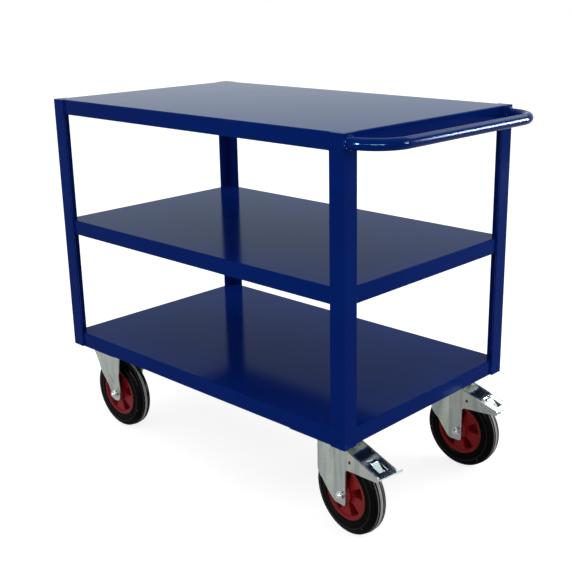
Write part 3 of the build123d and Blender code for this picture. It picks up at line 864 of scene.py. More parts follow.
def ripple(place, pitch, seed, slow=0.37, between=0.83):
    """How full a weld bead is at a place along it: one swell each pitch, none quite alike."""
    beat = 2 * pi * place / pitch
    even = BEAD_SWELL * sin(beat)
    drift = BEAD_SLOW_SWELL * sin(slow * beat + 2.1 * seed)
    odd = BEAD_ODD_SWELL * sin(between * beat + 5.3 * seed)
    return 1.0 + even + drift + odd


def straight_bead(bm, start, stop, radius, pitch, seed):
    """A rippled bead from start to stop with tapered ends."""
    line = stop - start
    count = max(6, round(line.length / (pitch / BEAD_STEPS_PER_RIPPLE)))
    stations = []
    for index in range(count + 1):
        share = index / count
        taper = min(1.0, BEAD_END + BEAD_FILL * min(share, 1 - share))
        along = share * line.length
        stations.append((along, radius * taper * ripple(along, pitch, seed)))
    loft_rings(bm, stations, axis_place(start, line), segments=BEAD_SIDES)


def ring_bead(bm, centre, axis, ring_radius, radius, pitch, seed):
    """A rippled bead round a tube."""
    before = set(bm.verts)
    round_length = 2 * pi * ring_radius
    upright = Matrix.Translation((ring_radius, 0, 0)) @ Euler((pi / 2, 0, 0)).to_matrix().to_4x4()
    made = bmesh.ops.create_circle(bm, cap_ends=False, radius=radius, segments=BEAD_SIDES, matrix=upright)
    spun(bm, loop_edges(made["verts"]), 2 * pi, round(round_length / (pitch / BEAD_STEPS_PER_RIPPLE)))
    beats = round(round_length / pitch)
    verts = [vert for vert in bm.verts if vert not in before]
    for vert in verts:
        turn = atan2(vert.co.y, vert.co.x)
        middle = Vector((cos(turn), sin(turn), 0)) * ring_radius
        swell = ripple(turn * ring_radius, round_length / beats, seed, 3 / beats, 7 / beats)
        vert.co = middle + (vert.co - middle) * swell
    bmesh.ops.transform(bm, matrix=axis_place(centre, axis), verts=verts)


def toe_weld_lines(sizes):
    """Start and end of each bead along a post's toes, on the rims of the trays."""
    stand_off = BEAD_STAND_OFF * sizes.weld_bead
    lines = []
    for tray in TRAYS:
        low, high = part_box(f"{tray}_shelf")
        bottom = low.z + 1.5 * sizes.weld_bead
        top = high.z - sizes.tray_bend - sizes.weld_bead
        for post, (end, side) in POSTS.items():
            post_low, post_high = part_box(f"post_{post}")
            toe_x = outer(post_low.x, post_high.x, -end) - end * stand_off
            toe_y = outer(post_low.y, post_high.y, -side) - side * stand_off
            rim_x = outer(low.x, high.x, end) + end * stand_off
            rim_y = outer(low.y, high.y, side) + side * stand_off
            for x, y in ((toe_x, rim_y), (rim_x, toe_y)):
                lines.append((Vector((x, y, bottom)), Vector((x, y, top))))
    return lines


class TROLLEY_OT_welds(bpy.types.Operator):
    """Run the weld beads that hold trays, posts and handle together"""

    bl_idname = "trolley.welds"
    bl_label = "Welds"

    def execute(self, context):
        sizes = context.scene.trolley_frame
        paint = finish_named("powder_coat")
        bm = bmesh.new()
        for seed, (start, stop) in enumerate(toe_weld_lines(sizes)):
            straight_bead(bm, start, stop, sizes.weld_bead, sizes.weld_ripple, seed)
        new_piece("tray_welds", finished(bm), paint, "frame")
        radius, level, start, _, side = handle_line()
        bead = sizes.handle_bead
        ring_radius = radius + HANDLE_BEAD_ROUND * bead
        bm = bmesh.new()
        for seed, y in enumerate((-side, side)):
            centre = Vector((start + HANDLE_BEAD_OUT * bead, y, level))
            ring_bead(bm, centre, (1, 0, 0), ring_radius, bead, HANDLE_RIPPLE * sizes.weld_ripple, seed)
        new_piece("handle_welds", finished(bm), finish_named("handle_coat"), "frame")
        return {"FINISHED"}


class TROLLEY_OT_channels(bpy.types.Operator):
    """Dress the cross channels that carry the castors"""

    bl_idname = "trolley.channels"
    bl_label = "Channels"

    def execute(self, context):
        sizes = context.scene.trolley_frame
        for end_name in ENDS:
            dressed(f"channel_{end_name}", finish_named("powder_coat"), sizes.cut_edge)
        return {"FINISHED"}


# Fasteners

THREAD_PITCH = 1.5 * MM
# the depth of a thread as a share of its pitch
THREAD_DEPTH = 0.55
HEAD_CHAMFER = 0.2 * MM
# half the size across a screw's flats, as a share of its thread, and the flat round on top of a head
SCREW_HEAD, HEAD_TOP = 0.85, 0.9
# how far each screw and each washer is turned from the one before
SCREW_TURN, WASHER_STEP = 0.7, 0.9
# the tips of one screw lie closer together than this, and those of two screws farther apart
SCREW_REACH = 30 * MM


def screw_centres():
    """The castor screws' axes, read from the screws' own solids."""
    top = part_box("castor_screws")[1].z
    groups = []
    for vert in frame["nodes"]["castor_screws"].data.vertices:
        if top - vert.co.z < TOUCH:
            tip = vert.co.xy
            near = [group for group in groups if (group[0] - tip).length < SCREW_REACH]
            if near:
                near[0].append(tip)
            else:
                groups.append([tip])
    return [Vector([(min(values) + max(values)) / 2 for values in zip(*group)]) for group in groups]


def thread_stations(start, stop, radius):
    """Stations of a screw thread seen as crests and roots, with a chamfered tip at stop."""
    root = radius - THREAD_DEPTH * THREAD_PITCH
    step = THREAD_PITCH if stop > start else -THREAD_PITCH
    stations = []
    for index in range(int(abs(stop - start) / THREAD_PITCH)):
        stations.append((start + step * index, root))
        stations.append((start + step * (index + 0.5), radius))
    return [*stations, (stop - 0.5 * step, radius), (stop, root)]


class TROLLEY_OT_fasteners(bpy.types.Operator):
    """Make the castor screws, their spring washers and the weld nuts"""

    bl_idname = "trolley.fasteners"
    bl_label = "Fasteners"

    def execute(self, context):
        castor = context.scene.trolley_castor
        steel = finish_named("bright_steel")
        low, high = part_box("castor_screws")
        washer_low, washer_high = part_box("spring_washers")
        head = washer_low.z - low.z
        half_flats = castor.screw_size * SCREW_HEAD
        radius = castor.screw_size / 2
        stations = [
            (low.z, HEAD_TOP * half_flats),
            (low.z + HEAD_CHAMFER, half_flats, -1),
            (low.z + head, half_flats, 0),
            (low.z + head, radius),
            *thread_stations(low.z + head, high.z, radius)[1:],
        ]
        screws = bmesh.new()
        washers = bmesh.new()
        for index, centre in enumerate(screw_centres()):
            turn = Euler((0, 0, SCREW_TURN * index)).to_matrix().to_4x4()
            loft_rings(screws, stations, Matrix.Translation((centre.x, centre.y, 0)) @ turn)
            heights = washer_low.z, washer_high.z
            split_washer(washers, centre, *heights, castor.screw_size, WASHER_STEP * index)
        pieces = {"screws": (screws, "castor_screws"), "washers": (washers, "spring_washers")}
        for name, (bm, node) in pieces.items():
            even_shading(new_piece(name, finished(bm), steel, "frame", (node,)))
        painted_node("weld_nuts", steel)
        return {"FINISHED"}


WASHER_TURN = radians(346)
WASHER_STEPS = 28


def split_washer(bm, centre, bottom, top, screw, turn):
    """A spring washer: a square wire bent nearly all the way round."""
    before = set(bm.verts)
    inner = screw / 2 + 0.2 * MM
    rim = 0.9 * screw
    corners = ((inner, bottom), (rim, bottom), (rim, top), (inner, top))
    face = bm.faces.new([bm.verts.new((radius, 0, height)) for radius, height in corners])
    spun(bm, [face, *face.edges, *face.verts], WASHER_TURN, WASHER_STEPS)
    verts = [vert for vert in bm.verts if vert not in before]
    bmesh.ops.rotate(bm, cent=(0, 0, 0), matrix=Matrix.Rotation(turn, 3, "Z"), verts=verts)
    bmesh.ops.translate(bm, vec=(centre.x, centre.y, 0), verts=verts)


# Castors


def smooth_step(value):
    share = min(1.0, max(0.0, value))
    return share * share * (3 - 2 * share)


BRACKET_BEND_STEPS = 5
BRACKET_ROWS = 40
BRACKET_COLUMNS = 16
# the rows of a leg crowd a little towards its rounded foot
BRACKET_CROWDING = 1.25
# shares of a leg's half width at which it falls away and at which its edges start to roll in
BRACKET_CREASE_AT = 0.2
BRACKET_ROLL_AT = 0.5
# how much of the dish round the axle is smooth, the rest being a plain cone
BRACKET_DISH_SMOOTH = 0.4
# the painted shade on a leg, a dark patch where the dish turns down: how far above the axle it lies, and half its
# height and width
LEG_SHADE_RISE, LEG_SHADE_HEIGHT, LEG_SHADE_WIDTH = 40 * MM, 17 * MM, 9 * MM


def bracket_stations(low, high, axle_drop, sizes):
    """Rows of half a bracket from the middle of its plate to its foot: (out, drop, half width)."""
    out = (high.y - low.y) / 2
    plate = (high.x - low.x) / 2
    foot = high.z - low.z
    bend, shoulder = sizes.bracket_bend, sizes.bracket_shoulder
    corner = 0.8 * sizes.bracket_foot / 2
    rows = [(0.0, 0.0, plate), (out - bend, 0.0, plate)]
    for step in range(1, BRACKET_BEND_STEPS):
        turn = step / BRACKET_BEND_STEPS * pi / 2
        rows.append((out - bend + bend * sin(turn), bend - bend * cos(turn), plate))
    top = 2 * sizes.pressed_wall
    for step in range(BRACKET_ROWS + 1):
        drop = top + (foot - top) * (1 - (1 - step / BRACKET_ROWS) ** BRACKET_CROWDING)
        if drop < shoulder:
            share = (drop - top) / (shoulder - top)
            width = sizes.bracket_top + (sizes.bracket_waist - sizes.bracket_top) * share
        else:
            share = min(1.0, (drop - shoulder) / (axle_drop - shoulder))
            width = sizes.bracket_waist + (sizes.bracket_foot - sizes.bracket_waist) * share
        past = max(0.0, drop - (foot - corner))
        rows.append((out, drop, width / 2 - corner + sqrt(max(0.0, corner * corner - past * past))))
    return rows


def pressed_bracket(castor, sizes):
    """A bracket pressed from one sheet: a plate that turns down into two legs dished to the axle."""
    low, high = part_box(f"{castor}_bracket")
    centre = wheel_axis(castor)[0]
    axle_drop = high.z - centre.z
    rows = bracket_stations(low, high, axle_drop, sizes)
    last = len(rows) - 1
    bm = bmesh.new()
    bmesh.ops.create_grid(bm, x_segments=BRACKET_COLUMNS, y_segments=last, size=1.0)
    # painted shade: a dark patch on each leg above the axle, where the dish turns down
    grime = bm.verts.layers.float.new("grime")
    for vert in bm.verts:
        out, drop, half = rows[round((vert.co.y + 1) / 2 * last)]
        along = vert.co.x * half
        if drop > sizes.bracket_bend:
            reach = hypot(along, drop - axle_drop) - sizes.dish_inner
            share = reach / (sizes.dish_outer - sizes.dish_inner)
            cone = min(1.0, max(0.0, share))
            dish = BRACKET_DISH_SMOOTH * smooth_step(share) + (1 - BRACKET_DISH_SMOOTH) * cone
            fade = smooth_step((drop - sizes.bracket_bend) / sizes.bracket_shoulder)
            aside = abs(vert.co.x)
            fall = sizes.bracket_crease * max(0.0, aside - BRACKET_CREASE_AT)
            rolled = max(0.0, aside - BRACKET_ROLL_AT) / (1 - BRACKET_ROLL_AT)
            step_in = out - sizes.bracket_gap / 2
            out -= step_in * (1 - dish) + fade * dish * (fall + sizes.bracket_roll * rolled ** 2)
            above = (axle_drop - drop - LEG_SHADE_RISE) / LEG_SHADE_HEIGHT
            vert[grime] = max(0.0, 1 - above ** 2 - (along / LEG_SHADE_WIDTH) ** 2)
        vert.co = Vector((along, out, -drop))
    mirrored(bm)
    bmesh.ops.translate(bm, vec=(centre.x, centre.y, high.z), verts=bm.verts)
    bmesh.ops.remove_doubles(bm, verts=bm.verts, dist=MERGE)
    faced(bm, (0, 0, 1))
    return bm


class TROLLEY_OT_brackets(bpy.types.Operator):
    """Press the brackets of the fixed castors"""

    bl_idname = "trolley.brackets"
    bl_label = "Fixed brackets"

    def execute(self, context):
        castor = context.scene.trolley_castor
        zinc = finish_named("pressed_zinc")
        for side in SIDES:
            node = f"fixed_{side}_bracket"
            bm = pressed_bracket(f"fixed_{side}", castor)
            piece = new_piece(f"fixed_{side}_pressing", bm, zinc, "frame", (node,))
            thickened(piece, castor.pressed_wall, castor.pressed_edge)
        return {"FINISHED"}


class TROLLEY_OT_swivel_heads(bpy.types.Operator):
    """Dress the plates, king pins and ball races of the swivel castors"""

    bl_idname = "trolley.swivel_heads"
    bl_label = "Swivel heads"

    def execute(self, context):
        castor = context.scene.trolley_castor
        zinc, steel = finish_named("pressed_zinc"), finish_named("bright_steel")
        for side in SIDES:
            dressed(f"swivel_{side}_plate", zinc, castor.pressed_edge)
            dressed(f"swivel_{side}_king_pin", steel, castor.machined_edge)
            painted_node(f"swivel_{side}_race_balls", steel)
        return {"FINISHED"}


def fork_place(castor):
    """The castor's own frame: its origin on the plate's top, its x along the trail."""
    pivot = Vector(JOINTS[f"{castor}_swivel"]["pos_m"])
    trail = wheel_axis(castor)[0] - pivot
    origin = Vector((pivot.x, pivot.y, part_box(f"{castor}_plate")[1].z))
    return Matrix.Translation(origin) @ Matrix.Rotation(atan2(trail.y, trail.x), 4, "Z")


def eased(x, start, stop):
    """A smooth line between two places, each given as (x, y, slope)."""
    span = stop[0] - start[0]
    t = (x - start[0]) / span
    near = (1 + 2 * t) * (1 - t) ** 2 * start[1] + t * (1 - t) ** 2 * span * start[2]
    far = t * t * (3 - 2 * t) * stop[1] + t * t * (t - 1) * span * stop[2]
    return near + far


# Where a cheek leaves the round crown and where it starts to slant in, as shares of the crown's radius
CROWN_END, SLANT_START = -0.2, 0.12
# how far the cheek has come in by then, and its slopes there and at the crease
SLANT_IN, SLANT_SLOPE, CREASE_SLOPE = 2.0 * MM, -0.42, -0.64
# the crease: its length before and after the place it is named by, and how far it still comes in
CREASE_BEFORE, CREASE_AFTER, CREASE_IN = 0.8 * MM, 1.2 * MM, 0.5 * MM
# pieces into which each of the three bends is cut, and the crown's quarter circle
BEND_STEPS = (6, 6, 2)
CROWN_STEPS = 12
CORNER_STEPS = 8


def cheek_bends(sizes):
    """Where a cheek bends, seen from above, as (x, y, slope): off the round crown and into the leg."""
    crown, leg = sizes.crown_radius, sizes.leg_gap / 2
    off = CROWN_END * crown
    out = sqrt(crown * crown - off * off)
    return (
        (off, out, -off / out),
        (SLANT_START * crown, crown - SLANT_IN, SLANT_SLOPE),
        (sizes.crease_place - CREASE_BEFORE, leg + CREASE_IN, CREASE_SLOPE),
        (sizes.crease_place + CREASE_AFTER, leg, 0.0),
    )


def cheek_out(x, sizes):
    """How far a cheek stands out from the castor's middle at a place along it."""
    bends = cheek_bends(sizes)
    if x <= bends[0][0]:
        return sqrt(max(0.0, sizes.crown_radius ** 2 - x * x))
    for start, stop in zip(bends, bends[1:]):
        if x <= stop[0]:
            return eased(x, start, stop)
    return sizes.leg_gap / 2


def flat_cheek(sizes):
    """A cheek before it is bent: crown, skirt, leg and wing cut from flat sheet, with rounded corners."""
    crown, top = sizes.crown_radius, -sizes.crown_drop
    arch = -sqrt(crown ** 2 - (sizes.arch_width / 2) ** 2)
    slant = (sizes.cheek_drop - sizes.skirt_drop) / crown
    corners = (
        (-crown, top, 0.0),
        (-crown, -sizes.arch_drop, 0.0),
        (arch, -sizes.arch_drop, 0.0),
        (arch, -sizes.cheek_drop - arch * slant, 0.0),
        (0.0, -sizes.cheek_drop, 0.0),
        (sizes.foot_front, -sizes.foot_drop, sizes.foot_round),
        (sizes.foot_back, -sizes.foot_drop, sizes.foot_round),
        (sizes.foot_back, -sizes.notch_drop, sizes.notch_round),
        (sizes.wing_reach, -sizes.toe_drop - sizes.toe_depth, sizes.toe_round),
        (sizes.wing_reach, -sizes.toe_drop, sizes.toe_round),
        (sizes.wing_start, top, sizes.wing_bend),
    )
    bm = bmesh.new()
    verts = [bm.verts.new((x, 0, z)) for x, z, radius in corners]
    bm.faces.new(verts)
    for index, (vert, (x, z, radius)) in enumerate(zip(verts, corners)):
        if radius:
            before = Vector(corners[index - 1][:2]) - Vector((x, z))
            after = Vector(corners[(index + 1) % len(corners)][:2]) - Vector((x, z))
            run = radius / tan(before.angle(after) / 2)
            bmesh.ops.bevel(
                bm, geom=[vert], offset=run, offset_type="OFFSET", segments=CORNER_STEPS, profile=0.5,
                affect="VERTICES", material=-1,
            )
    bmesh.ops.delete(bm, geom=bm.faces[:], context="FACES_ONLY")
    upright = Euler((pi / 2, 0, 0)).to_matrix().to_4x4()
    place = Matrix.Translation((sizes.wing_hole_reach, 0, -sizes.wing_hole_drop)) @ upright
    bmesh.ops.create_circle(bm, cap_ends=False, radius=sizes.wing_hole / 2, segments=24, matrix=place)
    bmesh.ops.triangle_fill(bm, use_beauty=True, use_dissolve=False, edges=bm.edges[:], normal=(0, -1, 0))
    return bm


def pressed_fork(castor, sizes):
    """The fork's two cheeks, bent from the flat and joined at the front of the crown."""
    bm = flat_cheek(sizes)
    bends = cheek_bends(sizes)
    quarter = [-sizes.crown_radius * cos(step / CROWN_STEPS * pi / 2) for step in range(1, CROWN_STEPS)]
    columns = [x for x in quarter if x < bends[0][0]]
    for start, stop, steps in zip(bends, bends[1:], BEND_STEPS):
        columns += [start[0] + (stop[0] - start[0]) * step / steps for step in range(steps)]
    columns.append(bends[-1][0])
    for x in columns:
        bmesh.ops.bisect_plane(bm, geom=everything(bm), plane_co=(x, 0, 0), plane_no=(1, 0, 0))
    # painted shade: a dark line along the crease where a leg starts
    grime = bm.verts.layers.float.new("grime")
    crease = columns[-2]
    for vert in bm.verts:
        vert[grime] = 1.0 if abs(vert.co.x - crease) < TOUCH else 0.0
        vert.co.y = -cheek_out(vert.co.x, sizes)
    mirrored(bm)
    bmesh.ops.remove_doubles(bm, verts=bm.verts, dist=5 * MERGE)
    bmesh.ops.dissolve_limit(bm, angle_limit=radians(0.2), verts=bm.verts, edges=bm.edges)
    faced(bm, (0, -1, 0))
    bmesh.ops.transform(bm, matrix=fork_place(castor), verts=bm.verts)
    return bm


def fork_crown(castor, sizes):
    """The closed top of the fork: a disc with a hole for the king pin and a lip round the ball race."""
    bm = bmesh.new()
    hole = sizes.crown_hole / 2
    rim = sizes.crown_radius - 0.1 * MM
    wall, lip = sizes.pressed_wall, sizes.crown_lip
    top = -sizes.crown_drop
    round_off = 0.8 * MM
    stations = [
        (top - wall, hole),
        (top - wall, rim - round_off),
        (top - wall + round_off, rim),
        (top + lip - round_off, rim),
        (top + lip, rim - round_off),
        (top + lip, rim - wall + round_off),
        (top + lip - round_off, rim - wall),
        (top + round_off, rim - wall),
        (top, rim - wall - round_off),
        (top, hole),
    ]
    loft_rings(bm, stations, fork_place(castor), segments=72, closed=True)
    return finished(bm)


class TROLLEY_OT_forks(bpy.types.Operator):
    """Press the forks of the swivel castors"""

    bl_idname = "trolley.forks"
    bl_label = "Forks"

    def execute(self, context):
        castor = context.scene.trolley_castor
        zinc = finish_named("pressed_zinc")
        for side in SIDES:
            node = f"swivel_{side}_fork"
            body = body_of(node)
            cheeks = pressed_fork(f"swivel_{side}", castor)
            piece = new_piece(f"swivel_{side}_cheeks", cheeks, zinc, body, (node,))
            thickened(piece, castor.pressed_wall, castor.pressed_edge)
            crown = fork_crown(f"swivel_{side}", castor)
            even_shading(new_piece(f"swivel_{side}_crown", crown, zinc, body))
        return {"FINISHED"}


class TROLLEY_OT_brakes(bpy.types.Operator):
    """Dress the brake pedals with their springs, shoes and pins"""

    bl_idname = "trolley.brakes"
    bl_label = "Brakes"

    def execute(self, context):
        castor = context.scene.trolley_castor
        for side in SIDES:
            for part in ("brake_pedal", "brake_spring", "pedal_pin"):
                node = f"swivel_{side}_{part}"
                dressed(node, finish_named("pedal_zinc"), castor.pressed_edge)
            shoe = f"swivel_{side}_brake_shoe"
            dressed(shoe, finish_named("tyre_rubber"), castor.moulded_edge)
        return {"FINISHED"}


def wheel_axis(castor):
    """The wheel's middle and the direction of its axle, both at rest."""
    joint = JOINTS[f"{castor}_wheel_spin"]
    return Vector(joint["pos_m"]), Vector(joint["axis"]).normalized()


def along_axis(node, centre, axis):
    """Where a node starts and ends along an axle."""
    places = [(vert.co - centre).dot(axis) for vert in frame["nodes"][node].data.vertices]
    return min(places), max(places)


# painted shade lies this near to a head's seat, and farther out than this share of the thread's radius
SEAT_SHADE_HEIGHT, SEAT_SHADE_START = 0.5 * MM, 1.1


def shade_seat(bm, centre, axis, seat, radius):
    """Marks a ring of painted shade round the foot of a head or nut."""
    grime = bm.verts.layers.float.new("grime")
    for vert in bm.verts:
        reach = vert.co - centre
        along = reach.dot(axis)
        if abs(along - seat) < SEAT_SHADE_HEIGHT and (reach - along * axis).length > SEAT_SHADE_START * radius:
            vert[grime] = 1.0


def bolt_stations(tip, head, nut_seat, sizes):
    """An axle bolt: its head, a plain shank and the thread that carries the nut."""
    half_flats, radius = sizes.axle_head / 2, sizes.axle_size / 2
    return [
        (head, HEAD_TOP * half_flats),
        (head - HEAD_CHAMFER, half_flats, 1),
        (-nut_seat, half_flats, 0),
        (-nut_seat, radius),
        *thread_stations(nut_seat, tip, radius),
    ]


def nut_stations(end, seat, sizes):
    """A locking nut: its hexagon and the round collar that holds its ring."""
    half_flats, radius = sizes.axle_head / 2, sizes.axle_size / 2
    collar = end + 3.0 * MM
    return [
        (seat, radius),
        (seat, 0.93 * half_flats),
        (seat - HEAD_CHAMFER, half_flats, 1),
        (collar + HEAD_CHAMFER, half_flats, -1),
        (collar, 0.88 * half_flats),
        (end + 1.0 * MM, 0.86 * half_flats),
        (end + 0.3 * MM, 0.80 * half_flats),
        (end, 0.72 * half_flats),
        (end, radius + 0.4 * MM),
        (end + 0.5 * MM, radius),
    ]


class TROLLEY_OT_axles(bpy.types.Operator):
    """Turn the axle bolts and their locking nuts"""

    bl_idname = "trolley.axles"
    bl_label = "Axles"

    def execute(self, context):
        sizes = context.scene.trolley_castor
        steel = finish_named("bright_steel")
        radius = sizes.axle_size / 2
        for castor in CASTORS:
            centre, axis = wheel_axis(castor)
            bolt_span = along_axis(f"{castor}_axle_bolt", centre, axis)
            nut_span = along_axis(f"{castor}_axle_nut", centre, axis)
            nut_seat = nut_span[1]
            shapes = {
                "bolt": (-nut_seat, bolt_stations(*bolt_span, nut_seat, sizes), False),
                "nut": (nut_seat, nut_stations(*nut_span, sizes), True),
            }
            for part, (seat, stations, closed) in shapes.items():
                node = f"{castor}_axle_{part}"
                bm = bmesh.new()
                loft_rings(bm, stations, axis_place(centre, axis), closed=closed)
                shade_seat(bm, centre, axis, seat, radius)
                body = body_of(f"{castor}_axle_bolt")
                piece = new_piece(f"{castor}_{part}", finished(bm), steel, body, (node,))
                even_shading(piece)
            painted_node(f"{castor}_axle_sleeve", steel)
        return {"FINISHED"}


class TROLLEY_OT_wheel_centres(bpy.types.Operator):
    """Dress the moulded wheel centres"""

    bl_idname = "trolley.wheel_centres"
    bl_label = "Wheel centres"

    def execute(self, context):
        moulded = context.scene.trolley_castor.moulded_edge
        for castor in CASTORS:
            dressed(f"{castor}_wheel_centre", finish_named("moulded_red"), moulded)
        return {"FINISHED"}


# The tyre's bead, wall and raised ring, from its bore outwards: millimetres past the flank and the bore
FLANK_STEPS = ((0.5, 3.0), (0.5, 5.0), (-0.3, 6.5), (-0.3, 13.0), (-0.3, 17.0), (0.8, 17.8), (0.8, 19.4))
# the shoulder's round: its height above the bore, the turn at which it starts, and its steps
SHOULDER_RISE, SHOULDER_START, SHOULDER_STEPS = 16.5 * MM, 0.24, 8
# how far the tread falls from its middle to its edge, and the break of a groove's edges
TREAD_FALL = 1.5 * MM
GROOVE_BREAK = 0.3 * MM
TYRE_STEPS = 132


def tyre_profile(sizes, wheel_radius):
    """One flank of the tyre from its seat to the middle of the tread, as (axial place, radius)."""
    bore = wheel_radius - sizes.tyre_depth
    seat = sizes.tyre_seat / 2
    flank = sizes.tyre_width / 2
    tread = sizes.tread_width / 2
    groove = sizes.groove_pitch / 2
    half = sizes.groove_width / 2

    def fall(place):
        return TREAD_FALL * place / tread

    points = [(seat, bore), (seat + 1.0 * MM, bore + 0.6 * MM)]
    points += [(flank + out * MM, bore + up * MM) for out, up in FLANK_STEPS]
    shoulder = bore + SHOULDER_RISE
    rise = wheel_radius - TREAD_FALL - shoulder
    for step in range(SHOULDER_STEPS + 1):
        turn = SHOULDER_START + step / SHOULDER_STEPS * (pi / 2 - SHOULDER_START)
        points.append((tread + (flank - tread) * cos(turn), shoulder + rise * sin(turn)))
    rib = (tread + groove + half) / 2
    points.append((rib, wheel_radius - fall(rib)))
    for way in (1, -1):
        place = groove + way * half
        edge = wheel_radius - fall(place)
        wall = (place, wheel_radius - sizes.groove_depth - fall(place))
        corner = [(place + way * GROOVE_BREAK, edge), (place, edge - GROOVE_BREAK), wall]
        points += corner[::way]
    points.append((groove - half - 1.1 * MM, wheel_radius - 0.4 * MM))
    points.append((0.0, wheel_radius))
    return points


# Each kind of castor's tyres: how grey their outer ribs are painted, for wear and for the tread's sheen, and the
# turn of the first nub
RIB_GREY = {"fixed": 0.12, "swivel": 0.5}
FIRST_NUB = {"fixed": radians(202), "swivel": radians(229)}
# how grey the raised ring and a nub's tip are painted
RING_GREY, NUB_GREY = 0.04, 0.8
# nubs on each flank: how many, their depth below the tread, how deep they sit, and how far they lean
NUB_COUNT, NUB_DEPTH, NUB_SINK, NUB_LEAN = 3, 14.0 * MM, 1.2 * MM, 0.35
NUB_SIDES = 10
NUB_STATIONS = ((0, 1.9 * MM), (1.4 * MM, 1.7 * MM), (1.8 * MM, 1.1 * MM))


def mark_greying(bm, sizes, wheel_radius, rib_grey):
    """Marks where a tyre is greyed, for rolled wear and as a painted sheen: its middle rib, its outer ribs and the
    ring on each flank.
    """
    rolled = bm.verts.layers.float.new("rolled")
    middle = (sizes.groove_pitch - sizes.groove_width) / 2
    for vert in bm.verts:
        depth = wheel_radius - hypot(vert.co.x, vert.co.y)
        aside = abs(vert.co.z)
        if aside < middle - 1.0 * MM and depth < 0.6 * MM:
            vert[rolled] = 1.0
        elif middle + 3.0 * MM < aside < sizes.tread_width / 2 - 0.5 * MM and depth < 1.4 * MM:
            vert[rolled] = rib_grey
        elif aside > sizes.tyre_width / 2 + 0.6 * MM:
            vert[rolled] = RING_GREY
    return rolled


def moulded_tyre(castor, sizes):
    """A tyre spun from its section, with a raised ring and mould nubs on each flank."""
    kind = CASTORS[castor]
    centre, axis = wheel_axis(castor)
    wheel_radius = centre.z - CAD_BOX[0].z
    half = tyre_profile(sizes, wheel_radius)
    section = half + [(-axial, radius) for axial, radius in half[-2::-1]]
    bm = bmesh.new()
    verts = [bm.verts.new((radius, 0, axial)) for axial, radius in section]
    edges = [bm.edges.new(pair) for pair in zip(verts, verts[1:] + verts[:1])]
    spun(bm, verts + edges, 2 * pi, TYRE_STEPS)
    # the grey marks stand for rolled wear and for a painted sheen
    rolled = mark_greying(bm, sizes, wheel_radius, RIB_GREY[kind])
    reach = wheel_radius - NUB_DEPTH
    for side in (-1, 1):
        for count in range(NUB_COUNT):
            turn = FIRST_NUB[kind] + 2 * pi * count / NUB_COUNT
            spot = Vector((reach * cos(turn), reach * sin(turn), side * (sizes.tyre_width / 2 - NUB_SINK)))
            outward = Vector((NUB_LEAN * cos(turn), NUB_LEAN * sin(turn), side))
            made = loft_rings(bm, NUB_STATIONS, axis_place(spot, outward), segments=NUB_SIDES)
            for vert in made[-NUB_SIDES:]:
                vert[rolled] = NUB_GREY
    bmesh.ops.transform(bm, matrix=axis_place(centre, axis), verts=bm.verts)
    return finished(bm)


class TROLLEY_OT_tyres(bpy.types.Operator):
    """Mould the tyres"""

    bl_idname = "trolley.tyres"
    bl_label = "Tyres"

    def execute(self, context):
        sizes = context.scene.trolley_castor
        for castor in CASTORS:
            node = f"{castor}_tyre"
            bm = moulded_tyre(castor, sizes)
            name = f"{castor}_rubber"
            new_piece(name, bm, finish_named("tyre_rubber"), body_of(node), (node,))
        return {"FINISHED"}


class TROLLEY_OT_bearings(bpy.types.Operator):
    """Give the rollers and their cages their finish"""

    bl_idname = "trolley.bearings"
    bl_label = "Bearings"

    def execute(self, context):
        for castor in CASTORS:
            painted_node(f"{castor}_rollers", finish_named("bright_steel"))
            painted_node(f"{castor}_roller_cage", finish_named("bearing_nylon"))
        return {"FINISHED"}


# Stage

WHITE = (1.0, 1.0, 1.0)
FLOOR_GREY = (0.42, 0.42, 0.42)
# heights, as the sine of the angle above level, between which the white sweep gives way to the ceiling
SWEEP_TOP = (0.03, 0.12)
# low lamps: place, aim, width, height, and the watts of their fill and of their glint
LOW_WINDOWS = {
    "right_window": ((2.95, 3.9, 1.1), (0.3, 0.0, 0.6), 1.0, 1.4, 60.0, 320.0),
    "left_window": ((-0.9, -4.3, 1.4), (0.0, 0.0, 0.5), 0.6, 0.4, 12.0, 90.0),
    "front_window": ((1.35, -4.2, 1.4), (0.1, -0.1, 0.4), 0.5, 0.4, 10.0, 75.0),
}
# how much of the way to its aim a glint stands before its fill, which would hide it
GLINT_NEARER = 0.02
# the flat faces of these would show a low lamp as a white patch
NOT_GLINTING = ("_tray", "_post", "floor")
# lamps that only the handle's near bend mirrors: place, width and watts
HANDLE_WINDOWS = {
    "corner_window": ((-0.3, -4.7, 1.5), 0.7, 3300.0),
    "camera_window": ((3.4, -3.6, 1.6), 3.0, 2600.0),
    "side_window": ((4.5, 1.8, 1.6), 0.8, 700.0),
}
HANDLE_PIECES = ("push_handle", "handle_welds")
HANDLE_AIM = (0.5, -0.3, 0.9)
HANDLE_WINDOW_HEIGHT = 0.9
# a warm light, because the paint mirrors little red
HANDLE_GLINT = (1.0, 0.42, 0.28)
# the lamp overhead: place, aim, width, height and watts
HIGH_WINDOW = ((0.5, 3.0, 3.1), (0.4, 0.0, 0.8), 2.0, 1.4, 24.0)


def seen_directly(tree):
    """1 where a ray comes from the camera, a reflection or a see-through surface."""
    path = add_node(tree, "ShaderNodeLightPath")
    mirrored = maths(tree, "MAXIMUM", path.outputs["Is Camera Ray"], path.outputs["Is Glossy Ray"])
    return maths(tree, "MAXIMUM", mirrored, path.outputs["Is Transmission Ray"])


